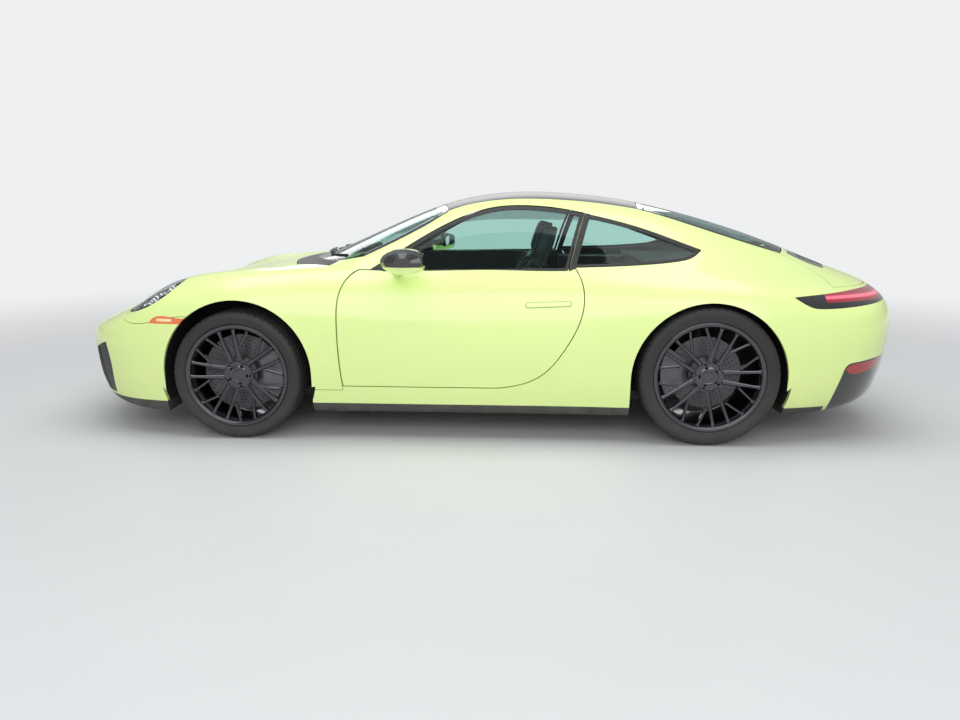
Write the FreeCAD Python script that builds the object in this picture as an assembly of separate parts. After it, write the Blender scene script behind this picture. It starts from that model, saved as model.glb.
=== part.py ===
# Coupe car with its engine behind the rear axle, two doors and a front luggage lid.
# Millimetres, +Z up, nose towards -X, the car's left side towards -Y.
# The origin lies on the ground, halfway along the car and halfway across it.

import FreeCAD, Part
import math
import os

V = FreeCAD.Vector

# Overall sizes
LENGTH = 4553.0
WIDTH = 1852.0
HEIGHT = 1298.0
FRONT_OVERHANG = 1010.0
WHEELBASE = 2450.0
HALF_LENGTH = LENGTH / 2
HALF_WIDTH = WIDTH / 2
FRONT_X = FRONT_OVERHANG - HALF_LENGTH
REAR_X = FRONT_X + WHEELBASE

# Gaps, thicknesses and clearances shared by the body panels
LID_GAP = 5.0
SEAM = 3.0
PANEL_THICKNESS = 26.0
LID_THICKNESS = 34.0
ROOF_THICKNESS = 38.0
ROOF_LEDGE = 60.0
GLASS_THICKNESS = 6.0
PILLAR_THICKNESS = 52.0
RUNNING_FIT = 0.05
SEAT_FIT = 0.3
OVERRUN = 80.0
OUTLINE_STEPS = 9
FULL_TURN = 360.0
RUN_ON_SLOPE = 0.03

# Wheels and tyres
FRONT_TYRE_RADIUS = 340.0
REAR_TYRE_RADIUS = 361.0
FRONT_TYRE_WIDTH = 247.0
REAR_TYRE_WIDTH = 318.0
FRONT_BEAD_RADIUS = 254.0
REAR_BEAD_RADIUS = 266.7
FRONT_RIM_WIDTH = 216.0
REAR_RIM_WIDTH = 292.0
FRONT_WHEEL_Y = 790.0
REAR_WHEEL_Y = 760.0
FLANGE_HEIGHT = 17.5
FLANGE_THICKNESS = 9.0
BARREL_THICKNESS = 10.0
TYRE_SHOULDER = 26.0
TYRE_SIDES = 60

# Wheel arches
FRONT_ARCH_RADIUS = 392.0
REAR_ARCH_RADIUS = 399.0
FRONT_ARCH_Z = 346.0
REAR_ARCH_Z = 344.0
ARCH_RELIEF = 24.0
ARCH_LIP_DEPTH = 46.0
FRONT_WELL_INNER_Y = 468.0
REAR_WELL_INNER_Y = 500.0

# Cabin, luggage tub and engine bay
CABIN_FRONT_X = -830.0
CABIN_REAR_X = 900.0
CABIN_HALF_WIDTH = 735.0
CABIN_FLOOR_Z = 205.0
REAR_FLOOR_X = 470.0
REAR_FLOOR_Z = 395.0
GLASSHOUSE_Z = 872.0
SHELF_REAR_X = 1640.0
SHELF_Z = 900.0
TAIL_PANEL_FOOT_Z = 700.0
TUB_FRONT_X = -1960.0
TUB_REAR_X = -1120.0
TUB_HALF_WIDTH = 372.0
TUB_FLOOR_Z = 300.0
BAY_FRONT_X = 1300.0
BAY_REAR_X = 2060.0
BAY_HALF_WIDTH = 470.0
BAY_FLOOR_Z = 225.0
TRAY_TOP_Z = 192.0
SEAT_LEDGE = 22.0
JACK_RADIUS = 32.0
JACK_FOOT_Z = 126.0
JACK_FRONT_X = -740.0
JACK_REAR_X = 690.0
JACK_Y = 770.0

# Hinge plates of the doors and lids
DOOR_HINGE_REAR_X = -600.0
DOOR_HINGE_INNER_Y = 780.0
DOOR_HINGE_OUTER_Y = 840.0
DOOR_HINGE_LOW_Z = 390.0
DOOR_HINGE_HIGH_Z = 610.0
DOOR_HINGE_HEIGHT = 60.0
LID_HINGE_WIDTH = 45.0
LID_HINGE_HEIGHT = 16.0
FRONT_HINGE_OUTER_Y = 520.0
FRONT_HINGE_Z = 848.0
REAR_HINGE_OUTER_Y = 450.0
REAR_HINGE_Z = 898.0

# Lamps
LAMP_X = -1733.0
LAMP_Y = 733.0
LAMP_Z = 757.0
LAMP_SLOPE = 38.0
LAMP_TOE_SHARE = 0.10
LAMP_LEAN_SHARE = 0.32
LAMP_HALF_LENGTH = 180.0
LAMP_HALF_WIDTH = 122.0
LAMP_DEPTH = 260.0
LAMP_THICKNESS = 70.0
TAIL_LAMP_THICKNESS = 40.0
MARKER_INNER_Y = 640.0
REFLECTOR_INNER_Y = 460.0

# Depths measured inwards from the skin
SIDE_GLASS_INSET = 4.0
INTAKE_DEPTH = 92.0
INTAKE_BACK_THICKNESS = 14.0
SLAT_INSET = 4.0
SLAT_THICKNESS = 9.0
SLAT_FIRST_Y = 478.0
SLAT_PITCH = 38.0
SLATS_PER_SIDE = 6
BAR_Z = 262.0
BAR_HEIGHT = 12.0
DIFFUSER_THICKNESS = 60.0
REFLECTOR_THICKNESS = 10.0
PLAN_FLOOR_Z = 500.0
TRAY_REAR_X = 1805.0
GRILLE_THICKNESS = 20.0
GRILLE_FRONT_X = 1772.0
GRILLE_PITCH = 26.0
GRILLE_SLOT_WIDTH = 14.0
GRILLE_SLOTS = 6
GRILLE_HALF_WIDTH = 330.0
GRILLE_SPINE_HALF = 14.0

# Rear number plate recess, blank
PLATE_HALF_WIDTH = 262.0
PLATE_HEIGHT = 118.0
PLATE_FOOT_Z = 452.0
PLATE_X = 2236.0

# Exhaust tips
TIP_RADIUS = 47.0
TIP_WALL = 4.0
TIP_Y = 118.0
TIP_Z = 262.0
TIP_FRONT_X = 2090.0
TIP_REAR_X = 2252.0

# Engine block with its gearbox end, one plain mass
ENGINE_FRONT_X = 1330.0
ENGINE_REAR_X = 1830.0
ENGINE_HALF_WIDTH = 325.0
ENGINE_HEIGHT = 400.0

# Wheel details, measured outwards from the wheel's middle plane
SPOKE_FACE_FRONT = 110.0
SPOKE_FACE_REAR = 148.0
SPOKE_DISH = 26.0
SPOKE_THICKNESS = 30.0
PAD_RADIUS = 78.0
PAD_BACK_FRONT = 48.0
PAD_BACK_REAR = 66.0
CAP_RADIUS = 33.0
CAP_HEIGHT = 7.0
LUG_CIRCLE_RADIUS = 65.0
LUG_HOLE_RADIUS = 14.0
LUG_HOLE_DEPTH = 22.0
LUGS = 5
SPOKE_WIDTH_IN = 23.0
SPOKE_WIDTH_OUT = 15.0
SPOKE_START_RADIUS = 58.0
SPOKE_FORK_SHARE = 0.66
FRONT_LUG_ANGLE = 65.0
REAR_LUG_ANGLE = 34.0

# Brakes and hubs
FRONT_DISC_RADIUS = 204.0
REAR_DISC_RADIUS = 190.0
DISC_THICKNESS = 34.0
DISC_INNER = -30.0
HAT_RADIUS = 92.0
HAT_WALL = 10.0
SPINDLE_RADIUS = 31.0
BRACKET_THICKNESS = 18.0
BRACKET_HALF_HEIGHT = 48.0
HAT_DEPTH = 12.0
SPINDLE_END_GAP = 1.0
UPRIGHT_OUTER = -40.0
UPRIGHT_INNER = -104.0
UPRIGHT_RADIUS = 66.0
CALIPER_OUT_RADIUS = 232.0
CALIPER_IN_RADIUS = 122.0
CALIPER_OUTER = 38.0
CALIPER_INNER = -66.0
CALIPER_GAP = 6.0
CALIPER_HALF_SPAN = 34.0

# Front suspension
KINGPIN_Y = 715.0
KINGPIN_RADIUS = 12.0
PIN_BITE = 40.0
LEG_HALF_WIDTH = 30.0
LEG_FOOT_Z = 196.0
LEG_TOP_Z = 500.0
ARM_THICKNESS = 20.0
ARM_REACH = 150.0
ARM_EYE_RADIUS = 26.0
DAMPER_Y = 545.0
DAMPER_RADIUS = 27.0
SPRING_RADIUS = 46.0
SPRING_FOOT_Z = 330.0
SPRING_TOP_Z = 640.0
STEER_CLEARANCE = 8.0

# Rear suspension
LINK_RADIUS = 15.0
REAR_LINK_SHARES = ((-0.48, -0.28), (-0.42, 0.36), (0.50, -0.24), (0.44, 0.30),
                    (0.10, -0.55))
REAR_SPRING_Y = 550.0
REAR_SPRING_RADIUS = 41.0
REAR_SPRING_FOOT_Z = 250.0

# Door mirrors
MIRROR_X = -365.0
MIRROR_Y = 925.0
MIRROR_Z = 943.0
MIRROR_HALF_X = 124.0
MIRROR_HALF_Y = 92.0
MIRROR_HALF_Z = 66.0
MIRROR_FACE_X = -268.0
MIRROR_RIM = 7.0
MIRROR_POCKET = 14.0
MIRROR_FOOT_X = -430.0
MIRROR_FOOT_Y = 785.0
MIRROR_FOOT_Z = 866.0
MIRROR_STALK_RADIUS = 22.0
MIRROR_SIDES = 24
MIRROR_OVAL_SHARES = ((-1.0, 0.36), (-0.78, 0.76), (-0.35, 0.97), (0.15, 1.0), (0.62, 0.8),
                      (1.0, 0.34))

# Seats
SEAT_Y = 370.0
SEAT_HALF_WIDTH = 250.0
SEAT_FRONT_X = -330.0
SEAT_REAR_X = 190.0
SEAT_BASE_Z = 300.0
SEAT_TOP_Z = 425.0
SEAT_SHOULDER_Z = 935.0
SEAT_HEAD_Z = 1150.0
SEAT_LEAN = 17.0
SEAT_BACK_THICKNESS = 110.0
SEAT_BOLSTER_WIDTH = 90.0
SEAT_BOLSTER_RISE = 45.0
SEAT_EDGE_RADIUS = 26.0
HEADREST_WIDTH_SHARE = 0.56
REAR_SEAT_GAP = 90.0
REAR_SEAT_OUTER_Y = 440.0
REAR_SEAT_FRONT_X = 500.0
REAR_SEAT_BACK_X = 850.0
REAR_SEAT_TOP_Z = 480.0
REAR_BACK_TOP_Z = 850.0

# Dashboard, console and steering column
DASH_HALF_WIDTH = 715.0
DASH_REAR_X = -500.0
DASH_STEP = 70.0
DASH_FOOT_Z = 560.0
DASH_CHIN_Z = 700.0
DASH_TOP_Z = 862.0
DASH_HOOD_HALF = 180.0
DASH_HOOD_RISE = 55.0
CONSOLE_REAR_X = 120.0
CONSOLE_HALF_WIDTH = 105.0
CONSOLE_TOP_Z = 470.0
WHEEL_CENTRE_X = -330.0
WHEEL_CENTRE_Z = 790.0
COLUMN_TILT = 22.0
COLUMN_LENGTH = 190.0
COLUMN_CLEARANCE = 26.0
COLUMN_RADIUS = 34.0
COLUMN_PIN_RADIUS = 14.0
COLUMN_BORE_DEPTH = 8.0
STEERING_RING_RADIUS = 168.0
STEERING_RING_THICKNESS = 15.0
STEERING_HUB_RADIUS = 62.0
STEERING_ARM_WIDTH = 40.0
STEERING_RING_SIDES = 8

# Body skin: poles of one smooth surface, station by station from nose to tail.
# Each station is its place along the car as a share of half the length, then pairs of
# places across and up as shares of half the width and of the height, read from the
# bottom edge round the side and over the crest to the middle line.
SKIN_SHARES = (
    (-1.000, (
        (0.151, 0.352), (0.171, 0.353), (0.186, 0.356), (0.197, 0.362), (0.203, 0.369), (0.205, 0.375),
        (0.203, 0.379), (0.198, 0.384), (0.186, 0.387), (0.170, 0.390), (0.146, 0.393), (0.117, 0.394),
        (0.087, 0.395), (0.058, 0.396), (0.029, 0.396), (0.000, 0.396))),
    (-0.997, (
        (0.232, 0.328), (0.259, 0.330), (0.283, 0.335), (0.300, 0.349), (0.310, 0.363), (0.313, 0.374),
        (0.310, 0.383), (0.301, 0.389), (0.284, 0.395), (0.258, 0.400), (0.221, 0.403), (0.178, 0.405),
        (0.134, 0.406), (0.090, 0.407), (0.044, 0.408), (0.000, 0.408))),
    (-0.989, (
        (0.324, 0.282), (0.362, 0.284), (0.391, 0.292), (0.416, 0.321), (0.428, 0.348), (0.432, 0.369),
        (0.429, 0.385), (0.417, 0.396), (0.394, 0.404), (0.359, 0.410), (0.308, 0.415), (0.248, 0.419),
        (0.186, 0.421), (0.124, 0.423), (0.062, 0.423), (0.000, 0.423))),
    (-0.975, (
        (0.416, 0.224), (0.459, 0.227), (0.491, 0.236), (0.518, 0.274), (0.535, 0.325), (0.540, 0.363),
        (0.537, 0.386), (0.524, 0.403), (0.497, 0.413), (0.454, 0.420), (0.389, 0.427), (0.313, 0.431),
        (0.235, 0.434), (0.157, 0.437), (0.079, 0.438), (0.000, 0.439))),
    (-0.953, (
        (0.508, 0.174), (0.562, 0.178), (0.594, 0.189), (0.626, 0.240), (0.645, 0.309), (0.652, 0.363),
        (0.648, 0.390), (0.632, 0.411), (0.599, 0.423), (0.545, 0.433), (0.464, 0.441), (0.373, 0.447),
        (0.281, 0.451), (0.187, 0.454), (0.094, 0.455), (0.000, 0.456))),
    (-0.922, (
        (0.605, 0.128), (0.659, 0.133), (0.691, 0.155), (0.729, 0.224), (0.751, 0.301), (0.761, 0.363),
        (0.756, 0.398), (0.738, 0.423), (0.697, 0.437), (0.632, 0.450), (0.540, 0.461), (0.432, 0.470),
        (0.324, 0.474), (0.216, 0.478), (0.108, 0.480), (0.000, 0.481))),
    (-0.879, (
        (0.745, 0.116), (0.783, 0.122), (0.805, 0.151), (0.832, 0.224), (0.850, 0.301), (0.861, 0.363),
        (0.856, 0.402), (0.837, 0.433), (0.794, 0.456), (0.718, 0.475), (0.610, 0.491), (0.486, 0.502),
        (0.362, 0.509), (0.240, 0.513), (0.120, 0.515), (0.000, 0.516))),
    (-0.826, (
        (0.842, 0.108), (0.873, 0.116), (0.888, 0.155), (0.905, 0.228), (0.918, 0.301), (0.925, 0.363),
        (0.921, 0.417), (0.898, 0.464), (0.842, 0.497), (0.756, 0.516), (0.648, 0.529), (0.518, 0.539),
        (0.383, 0.546), (0.254, 0.551), (0.127, 0.554), (0.000, 0.555))),
    (-0.778, (
        (0.886, 0.104), (0.913, 0.114), (0.923, 0.155), (0.937, 0.232), (0.948, 0.309), (0.955, 0.379),
        (0.949, 0.448), (0.923, 0.514), (0.859, 0.558), (0.756, 0.578), (0.648, 0.578), (0.529, 0.576),
        (0.400, 0.579), (0.268, 0.582), (0.134, 0.584), (0.000, 0.585))),
    (-0.729, (
        (0.913, 0.102), (0.937, 0.113), (0.948, 0.158), (0.959, 0.236), (0.969, 0.313), (0.975, 0.386),
        (0.971, 0.468), (0.946, 0.545), (0.877, 0.603), (0.772, 0.628), (0.659, 0.621), (0.540, 0.609),
        (0.405, 0.609), (0.270, 0.611), (0.135, 0.611), (0.000, 0.612))),
    (-0.676, (
        (0.918, 0.102), (0.942, 0.113), (0.956, 0.158), (0.969, 0.236), (0.981, 0.317), (0.988, 0.394),
        (0.985, 0.479), (0.961, 0.564), (0.886, 0.630), (0.772, 0.657), (0.659, 0.648), (0.540, 0.635),
        (0.405, 0.634), (0.270, 0.634), (0.135, 0.635), (0.000, 0.635))),
    (-0.615, (
        (0.918, 0.102), (0.942, 0.113), (0.958, 0.158), (0.974, 0.236), (0.987, 0.321), (0.996, 0.402),
        (0.994, 0.491), (0.970, 0.581), (0.892, 0.645), (0.775, 0.672), (0.661, 0.663), (0.542, 0.653),
        (0.407, 0.653), (0.271, 0.655), (0.135, 0.655), (0.000, 0.655))),
    (-0.556, (
        (0.916, 0.102), (0.940, 0.113), (0.958, 0.158), (0.975, 0.236), (0.989, 0.323), (0.999, 0.406),
        (0.997, 0.498), (0.972, 0.591), (0.894, 0.652), (0.780, 0.679), (0.666, 0.674), (0.548, 0.668),
        (0.413, 0.669), (0.274, 0.672), (0.137, 0.672), (0.000, 0.672))),
    (-0.492, (
        (0.909, 0.104), (0.935, 0.114), (0.952, 0.158), (0.967, 0.236), (0.979, 0.323), (0.987, 0.406),
        (0.984, 0.502), (0.958, 0.597), (0.888, 0.657), (0.786, 0.684), (0.677, 0.683), (0.558, 0.682),
        (0.423, 0.685), (0.283, 0.688), (0.141, 0.689), (0.000, 0.689))),
    (-0.439, (
        (0.903, 0.107), (0.929, 0.116), (0.946, 0.158), (0.958, 0.236), (0.969, 0.323), (0.974, 0.406),
        (0.971, 0.502), (0.944, 0.600), (0.880, 0.658), (0.794, 0.686), (0.691, 0.692), (0.576, 0.695),
        (0.437, 0.699), (0.294, 0.701), (0.147, 0.702), (0.000, 0.702))),
    (-0.395, (
        (0.898, 0.108), (0.925, 0.117), (0.942, 0.158), (0.954, 0.236), (0.963, 0.323), (0.968, 0.406),
        (0.963, 0.502), (0.935, 0.601), (0.877, 0.659), (0.805, 0.687), (0.707, 0.696), (0.592, 0.702),
        (0.448, 0.709), (0.300, 0.717), (0.150, 0.723), (0.000, 0.725))),
    (-0.343, (
        (0.896, 0.108), (0.923, 0.117), (0.940, 0.157), (0.952, 0.236), (0.962, 0.323), (0.965, 0.406),
        (0.960, 0.502), (0.931, 0.601), (0.875, 0.659), (0.812, 0.687), (0.726, 0.702), (0.618, 0.719),
        (0.467, 0.742), (0.310, 0.756), (0.154, 0.763), (0.000, 0.765))),
    (-0.281, (
        (0.896, 0.108), (0.923, 0.117), (0.940, 0.157), (0.955, 0.236), (0.965, 0.323), (0.969, 0.406),
        (0.961, 0.502), (0.931, 0.599), (0.877, 0.657), (0.819, 0.685), (0.759, 0.715), (0.662, 0.752),
        (0.499, 0.788), (0.329, 0.804), (0.164, 0.811), (0.000, 0.814))),
    (-0.211, (
        (0.898, 0.108), (0.925, 0.117), (0.942, 0.157), (0.958, 0.236), (0.970, 0.323), (0.973, 0.406),
        (0.963, 0.502), (0.932, 0.599), (0.880, 0.657), (0.829, 0.688), (0.788, 0.734), (0.713, 0.784),
        (0.540, 0.837), (0.351, 0.858), (0.175, 0.866), (0.000, 0.869))),
    (-0.141, (
        (0.898, 0.108), (0.925, 0.117), (0.943, 0.157), (0.960, 0.236), (0.972, 0.323), (0.975, 0.406),
        (0.964, 0.502), (0.932, 0.599), (0.882, 0.657), (0.837, 0.690), (0.790, 0.753), (0.707, 0.827),
        (0.562, 0.881), (0.362, 0.908), (0.180, 0.917), (0.000, 0.920))),
    (-0.066, (
        (0.898, 0.108), (0.925, 0.117), (0.943, 0.157), (0.960, 0.236), (0.973, 0.323), (0.976, 0.406),
        (0.965, 0.502), (0.932, 0.599), (0.883, 0.657), (0.840, 0.692), (0.788, 0.773), (0.704, 0.862),
        (0.589, 0.926), (0.380, 0.952), (0.189, 0.961), (0.000, 0.964))),
    (0.013, (
        (0.898, 0.108), (0.925, 0.117), (0.943, 0.157), (0.960, 0.236), (0.973, 0.323), (0.976, 0.406),
        (0.965, 0.502), (0.932, 0.600), (0.884, 0.658), (0.842, 0.696), (0.786, 0.784), (0.697, 0.881),
        (0.589, 0.949), (0.386, 0.977), (0.192, 0.986), (0.000, 0.989))),
    (0.102, (
        (0.898, 0.108), (0.925, 0.117), (0.943, 0.157), (0.960, 0.236), (0.973, 0.323), (0.976, 0.406),
        (0.967, 0.502), (0.934, 0.600), (0.886, 0.659), (0.842, 0.698), (0.784, 0.788), (0.691, 0.889),
        (0.578, 0.961), (0.380, 0.988), (0.190, 0.998), (0.000, 1.000))),
    (0.189, (
        (0.901, 0.108), (0.927, 0.117), (0.945, 0.158), (0.962, 0.236), (0.974, 0.323), (0.977, 0.406),
        (0.970, 0.502), (0.937, 0.600), (0.887, 0.661), (0.839, 0.701), (0.780, 0.788), (0.687, 0.885),
        (0.567, 0.955), (0.373, 0.983), (0.186, 0.992), (0.000, 0.995))),
    (0.272, (
        (0.905, 0.108), (0.931, 0.117), (0.951, 0.158), (0.969, 0.236), (0.979, 0.323), (0.984, 0.406),
        (0.978, 0.502), (0.948, 0.597), (0.894, 0.659), (0.837, 0.700), (0.772, 0.781), (0.675, 0.872),
        (0.551, 0.941), (0.362, 0.971), (0.181, 0.981), (0.000, 0.984))),
    (0.351, (
        (0.914, 0.108), (0.942, 0.118), (0.964, 0.158), (0.981, 0.236), (0.991, 0.323), (0.995, 0.406),
        (0.992, 0.502), (0.970, 0.592), (0.914, 0.651), (0.840, 0.692), (0.751, 0.765), (0.648, 0.850),
        (0.529, 0.920), (0.351, 0.951), (0.176, 0.962), (0.000, 0.965))),
    (0.430, (
        (0.918, 0.110), (0.947, 0.120), (0.972, 0.158), (0.988, 0.236), (0.997, 0.323), (1.000, 0.406),
        (1.000, 0.502), (0.983, 0.586), (0.931, 0.644), (0.846, 0.685), (0.732, 0.746), (0.624, 0.821),
        (0.508, 0.889), (0.337, 0.922), (0.168, 0.933), (0.000, 0.936))),
    (0.520, (
        (0.914, 0.111), (0.945, 0.121), (0.972, 0.158), (0.988, 0.236), (0.998, 0.323), (1.000, 0.406),
        (1.000, 0.498), (0.987, 0.580), (0.940, 0.635), (0.848, 0.675), (0.718, 0.725), (0.599, 0.787),
        (0.481, 0.846), (0.321, 0.882), (0.160, 0.894), (0.000, 0.897))),
    (0.615, (
        (0.898, 0.113), (0.931, 0.124), (0.961, 0.162), (0.979, 0.238), (0.990, 0.323), (0.995, 0.406),
        (0.995, 0.491), (0.983, 0.566), (0.937, 0.621), (0.837, 0.659), (0.697, 0.701), (0.572, 0.750),
        (0.456, 0.800), (0.306, 0.832), (0.152, 0.845), (0.000, 0.848))),
    (0.703, (
        (0.866, 0.114), (0.900, 0.125), (0.934, 0.166), (0.957, 0.241), (0.972, 0.325), (0.979, 0.406),
        (0.979, 0.483), (0.964, 0.553), (0.916, 0.603), (0.815, 0.639), (0.680, 0.673), (0.556, 0.711),
        (0.437, 0.751), (0.294, 0.781), (0.147, 0.793), (0.000, 0.796))),
    (0.782, (
        (0.819, 0.117), (0.853, 0.128), (0.890, 0.171), (0.918, 0.244), (0.940, 0.325), (0.952, 0.402),
        (0.955, 0.473), (0.937, 0.536), (0.886, 0.582), (0.794, 0.617), (0.664, 0.646), (0.545, 0.675),
        (0.427, 0.705), (0.285, 0.728), (0.143, 0.737), (0.000, 0.740))),
    (0.848, (
        (0.756, 0.128), (0.794, 0.138), (0.829, 0.178), (0.867, 0.249), (0.894, 0.325), (0.910, 0.398),
        (0.915, 0.462), (0.900, 0.518), (0.853, 0.559), (0.772, 0.591), (0.653, 0.619), (0.537, 0.644),
        (0.419, 0.666), (0.280, 0.683), (0.140, 0.690), (0.000, 0.692))),
    (0.905, (
        (0.662, 0.147), (0.699, 0.156), (0.738, 0.190), (0.784, 0.257), (0.816, 0.328), (0.838, 0.396),
        (0.845, 0.454), (0.834, 0.504), (0.798, 0.543), (0.731, 0.573), (0.624, 0.600), (0.512, 0.621),
        (0.398, 0.637), (0.266, 0.648), (0.132, 0.654), (0.000, 0.655))),
    (0.944, (
        (0.534, 0.170), (0.571, 0.179), (0.609, 0.207), (0.659, 0.267), (0.691, 0.334), (0.715, 0.396),
        (0.725, 0.448), (0.720, 0.493), (0.694, 0.529), (0.641, 0.560), (0.553, 0.585), (0.456, 0.603),
        (0.354, 0.615), (0.237, 0.624), (0.117, 0.628), (0.000, 0.630))),
    (0.973, (
        (0.410, 0.202), (0.444, 0.209), (0.474, 0.232), (0.515, 0.286), (0.547, 0.342), (0.570, 0.396),
        (0.580, 0.440), (0.576, 0.479), (0.558, 0.512), (0.520, 0.539), (0.453, 0.563), (0.374, 0.579),
        (0.290, 0.590), (0.194, 0.597), (0.096, 0.600), (0.000, 0.602))),
    (0.989, (
        (0.335, 0.255), (0.360, 0.260), (0.382, 0.274), (0.416, 0.313), (0.442, 0.354), (0.458, 0.396),
        (0.465, 0.433), (0.462, 0.466), (0.448, 0.493), (0.419, 0.515), (0.366, 0.535), (0.303, 0.548),
        (0.237, 0.556), (0.158, 0.562), (0.080, 0.564), (0.000, 0.565))),
    (0.997, (
        (0.268, 0.305), (0.287, 0.308), (0.303, 0.315), (0.329, 0.342), (0.350, 0.370), (0.361, 0.398),
        (0.365, 0.424), (0.361, 0.448), (0.350, 0.468), (0.329, 0.485), (0.292, 0.498), (0.245, 0.508),
        (0.191, 0.514), (0.127, 0.518), (0.064, 0.519), (0.000, 0.520))),
    (1.000, (
        (0.181, 0.348), (0.195, 0.349), (0.208, 0.354), (0.227, 0.368), (0.240, 0.383), (0.248, 0.400),
        (0.250, 0.415), (0.247, 0.430), (0.238, 0.442), (0.224, 0.453), (0.199, 0.461), (0.167, 0.468),
        (0.131, 0.471), (0.087, 0.474), (0.044, 0.474), (0.000, 0.475))),
)


# The car is the same on both sides, so most pieces are made for the left half and mirrored.
def skin_poles():
    """Poles of the left half girth, from the bottom edge up to the middle line."""
    rows = []
    for x_share, girth_shares in SKIN_SHARES:
        row = [V(x_share * HALF_LENGTH, -y * HALF_WIDTH, z * HEIGHT) for y, z in girth_shares]
        row[-1].z = row[-2].z
        rows.append(row)
    return rows


def sunk_poles(rows, depth):
    """The same poles moved inwards by depth along the surface normal."""
    sunk = []
    last_row, last_column = len(rows) - 1, len(rows[0]) - 1
    for i, row in enumerate(rows):
        line = []
        for j, pole in enumerate(row):
            along = rows[min(i + 1, last_row)][j] - rows[max(i - 1, 0)][j]
            around = row[min(j + 1, last_column)] - row[max(j - 1, 0)]
            line.append(pole + around.cross(along).normalize() * depth)
        line[-1].y = 0
        line[-1].z = line[-2].z
        sunk.append(line)
    for row, line, inward in ((rows[0], sunk[0], depth), (rows[-1], sunk[-1], -depth)):
        for pole, moved in zip(row, line):
            moved.x = pole.x + inward
    return sunk


def knots_for(count, degree):
    inner = count - degree
    return list(range(inner + 1)), [degree + 1] + [1] * (inner - 1) + [degree + 1]


def smooth_curve(poles, degree):
    knots, mults = knots_for(len(poles), degree)
    curve = Part.BSplineCurve()
    curve.buildFromPolesMultsKnots(poles, mults, knots, False, degree)
    return curve.toShape()


def flat_face(edges):
    return Part.Face(Part.Wire(Part.sortEdges(edges)[0]))


def make_skin(depth):
    """Closed left half of the body, depth below its outside."""
    degree = 3
    rows = skin_poles()
    if depth:
        rows = sunk_poles(rows, depth)
    u_knots, u_mults = knots_for(len(rows), degree)
    v_knots, v_mults = knots_for(len(rows[0]), degree)
    surface = Part.BSplineSurface()
    surface.buildFromPolesMultsKnots(rows, u_mults, v_mults, u_knots, v_knots,
                                     False, False, degree, degree)
    edge = smooth_curve([row[0] for row in rows], degree)
    keel = smooth_curve([V(row[0].x, 0, row[0].z) for row in rows], degree)
    ridge = smooth_curve([row[-1] for row in rows], degree)
    faces = [surface.toShape(), Part.makeRuledSurface(edge, keel)]
    ends = []
    for row in (rows[0], rows[-1]):
        foot = V(row[0].x, 0, row[0].z)
        upright = Part.makeLine(foot, row[-1])
        faces.append(flat_face([smooth_curve(row, degree), upright, Part.makeLine(row[0], foot)]))
        ends.append(upright)
    faces.append(flat_face([ridge, keel] + ends))
    shell = Part.makeCompound(faces)
    shell.sewShape()
    return Part.Solid(shell.Shells[0])


SKINS = {}


def skin(depth):
    if depth not in SKINS:
        SKINS[depth] = make_skin(depth)
    return SKINS[depth]


# Plain helpers
def box(x0, x1, y0, y1, z0, z1):
    return Part.makeBox(x1 - x0, y1 - y0, z1 - z0, V(x0, y0, z0))


def left_box(x0, x1, half_width, z0, z1):
    return box(x0, x1, -half_width, 0, z0, z1)


def rod_x(radius, x0, x1, y, z):
    return Part.makeCylinder(radius, x1 - x0, V(x0, y, z), V(1, 0, 0))


def rod_y(radius, y0, y1, x, z):
    return Part.makeCylinder(radius, y1 - y0, V(x, y0, z), V(0, 1, 0))


def rod_z(radius, z0, z1, x, y):
    return Part.makeCylinder(radius, z1 - z0, V(x, y, z0), V(0, 0, 1))


def rod_between(start, end, radius):
    return Part.makeCylinder(radius, (end - start).Length, start, end - start)


def mirrored(shape):
    return shape.mirror(V(0, 0, 0), V(0, 1, 0))


def both_sides(shape):
    return Part.makeCompound([shape, mirrored(shape)])


def whole(half):
    """Both halves of a piece that crosses the middle line, as one solid."""
    return half.fuse(mirrored(half))


def joined(shapes):
    return shapes[0].fuse(shapes[1:]).removeSplitter()


def curve_through(points):
    curve = Part.BSplineCurve()
    curve.interpolate(points)
    return curve.toShape()


def closed_runs(segments, point):
    """Runs of places joined into a loop, with a straight run wherever two don't meet."""
    runs = []
    given = [[point(*place) for place in run] for run in segments]
    for index, run in enumerate(given):
        runs.append(run)
        start = given[(index + 1) % len(given)][0]
        if (run[-1] - start).Length > RUNNING_FIT:
            runs.append([run[-1], start])
    return runs


def meeting(end, end_way, start, start_way, normal):
    """Where two lines in one plane cross, or halfway between them if they run on."""
    side = start_way.cross(normal)
    slope = end_way.dot(side) / (end_way.Length * start_way.Length)
    if abs(slope) < RUN_ON_SLOPE:
        return (end + start) * (1 / 2)
    return end + end_way * ((start - end).dot(side) / end_way.dot(side))


def shifted(runs, margin, normal):
    """The loop moved outwards by margin; what lies on the middle plane stays on it."""
    corners = [point for run in runs for point in run[:-1]]
    turning = sum((a.cross(b).dot(normal) for a, b in zip(corners, corners[1:] + corners[:1])), 0)
    sign = 1 if turning > 0 else -1
    moved, ways = [], []
    for run in runs:
        points = run if len(run) == 2 else curve_through(run).discretize(OUTLINE_STEPS)
        on_middle = max(abs(point.y) for point in points) < RUNNING_FIT
        step = 0 if on_middle and abs(normal.y) < 1 else margin * sign
        last = len(points) - 1
        slopes = [points[min(k + 1, last)] - points[max(k - 1, 0)] for k in range(last + 1)]
        moved.append([point + way.cross(normal).normalize() * step
                      for point, way in zip(points, slopes)])
        ways.append(slopes)
    for index, run in enumerate(moved):
        before = moved[index - 1]
        corner = meeting(before[-1], ways[index - 1][-1], run[0], ways[index][0], normal)
        before[-1] = run[0] = corner
    return moved


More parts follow.
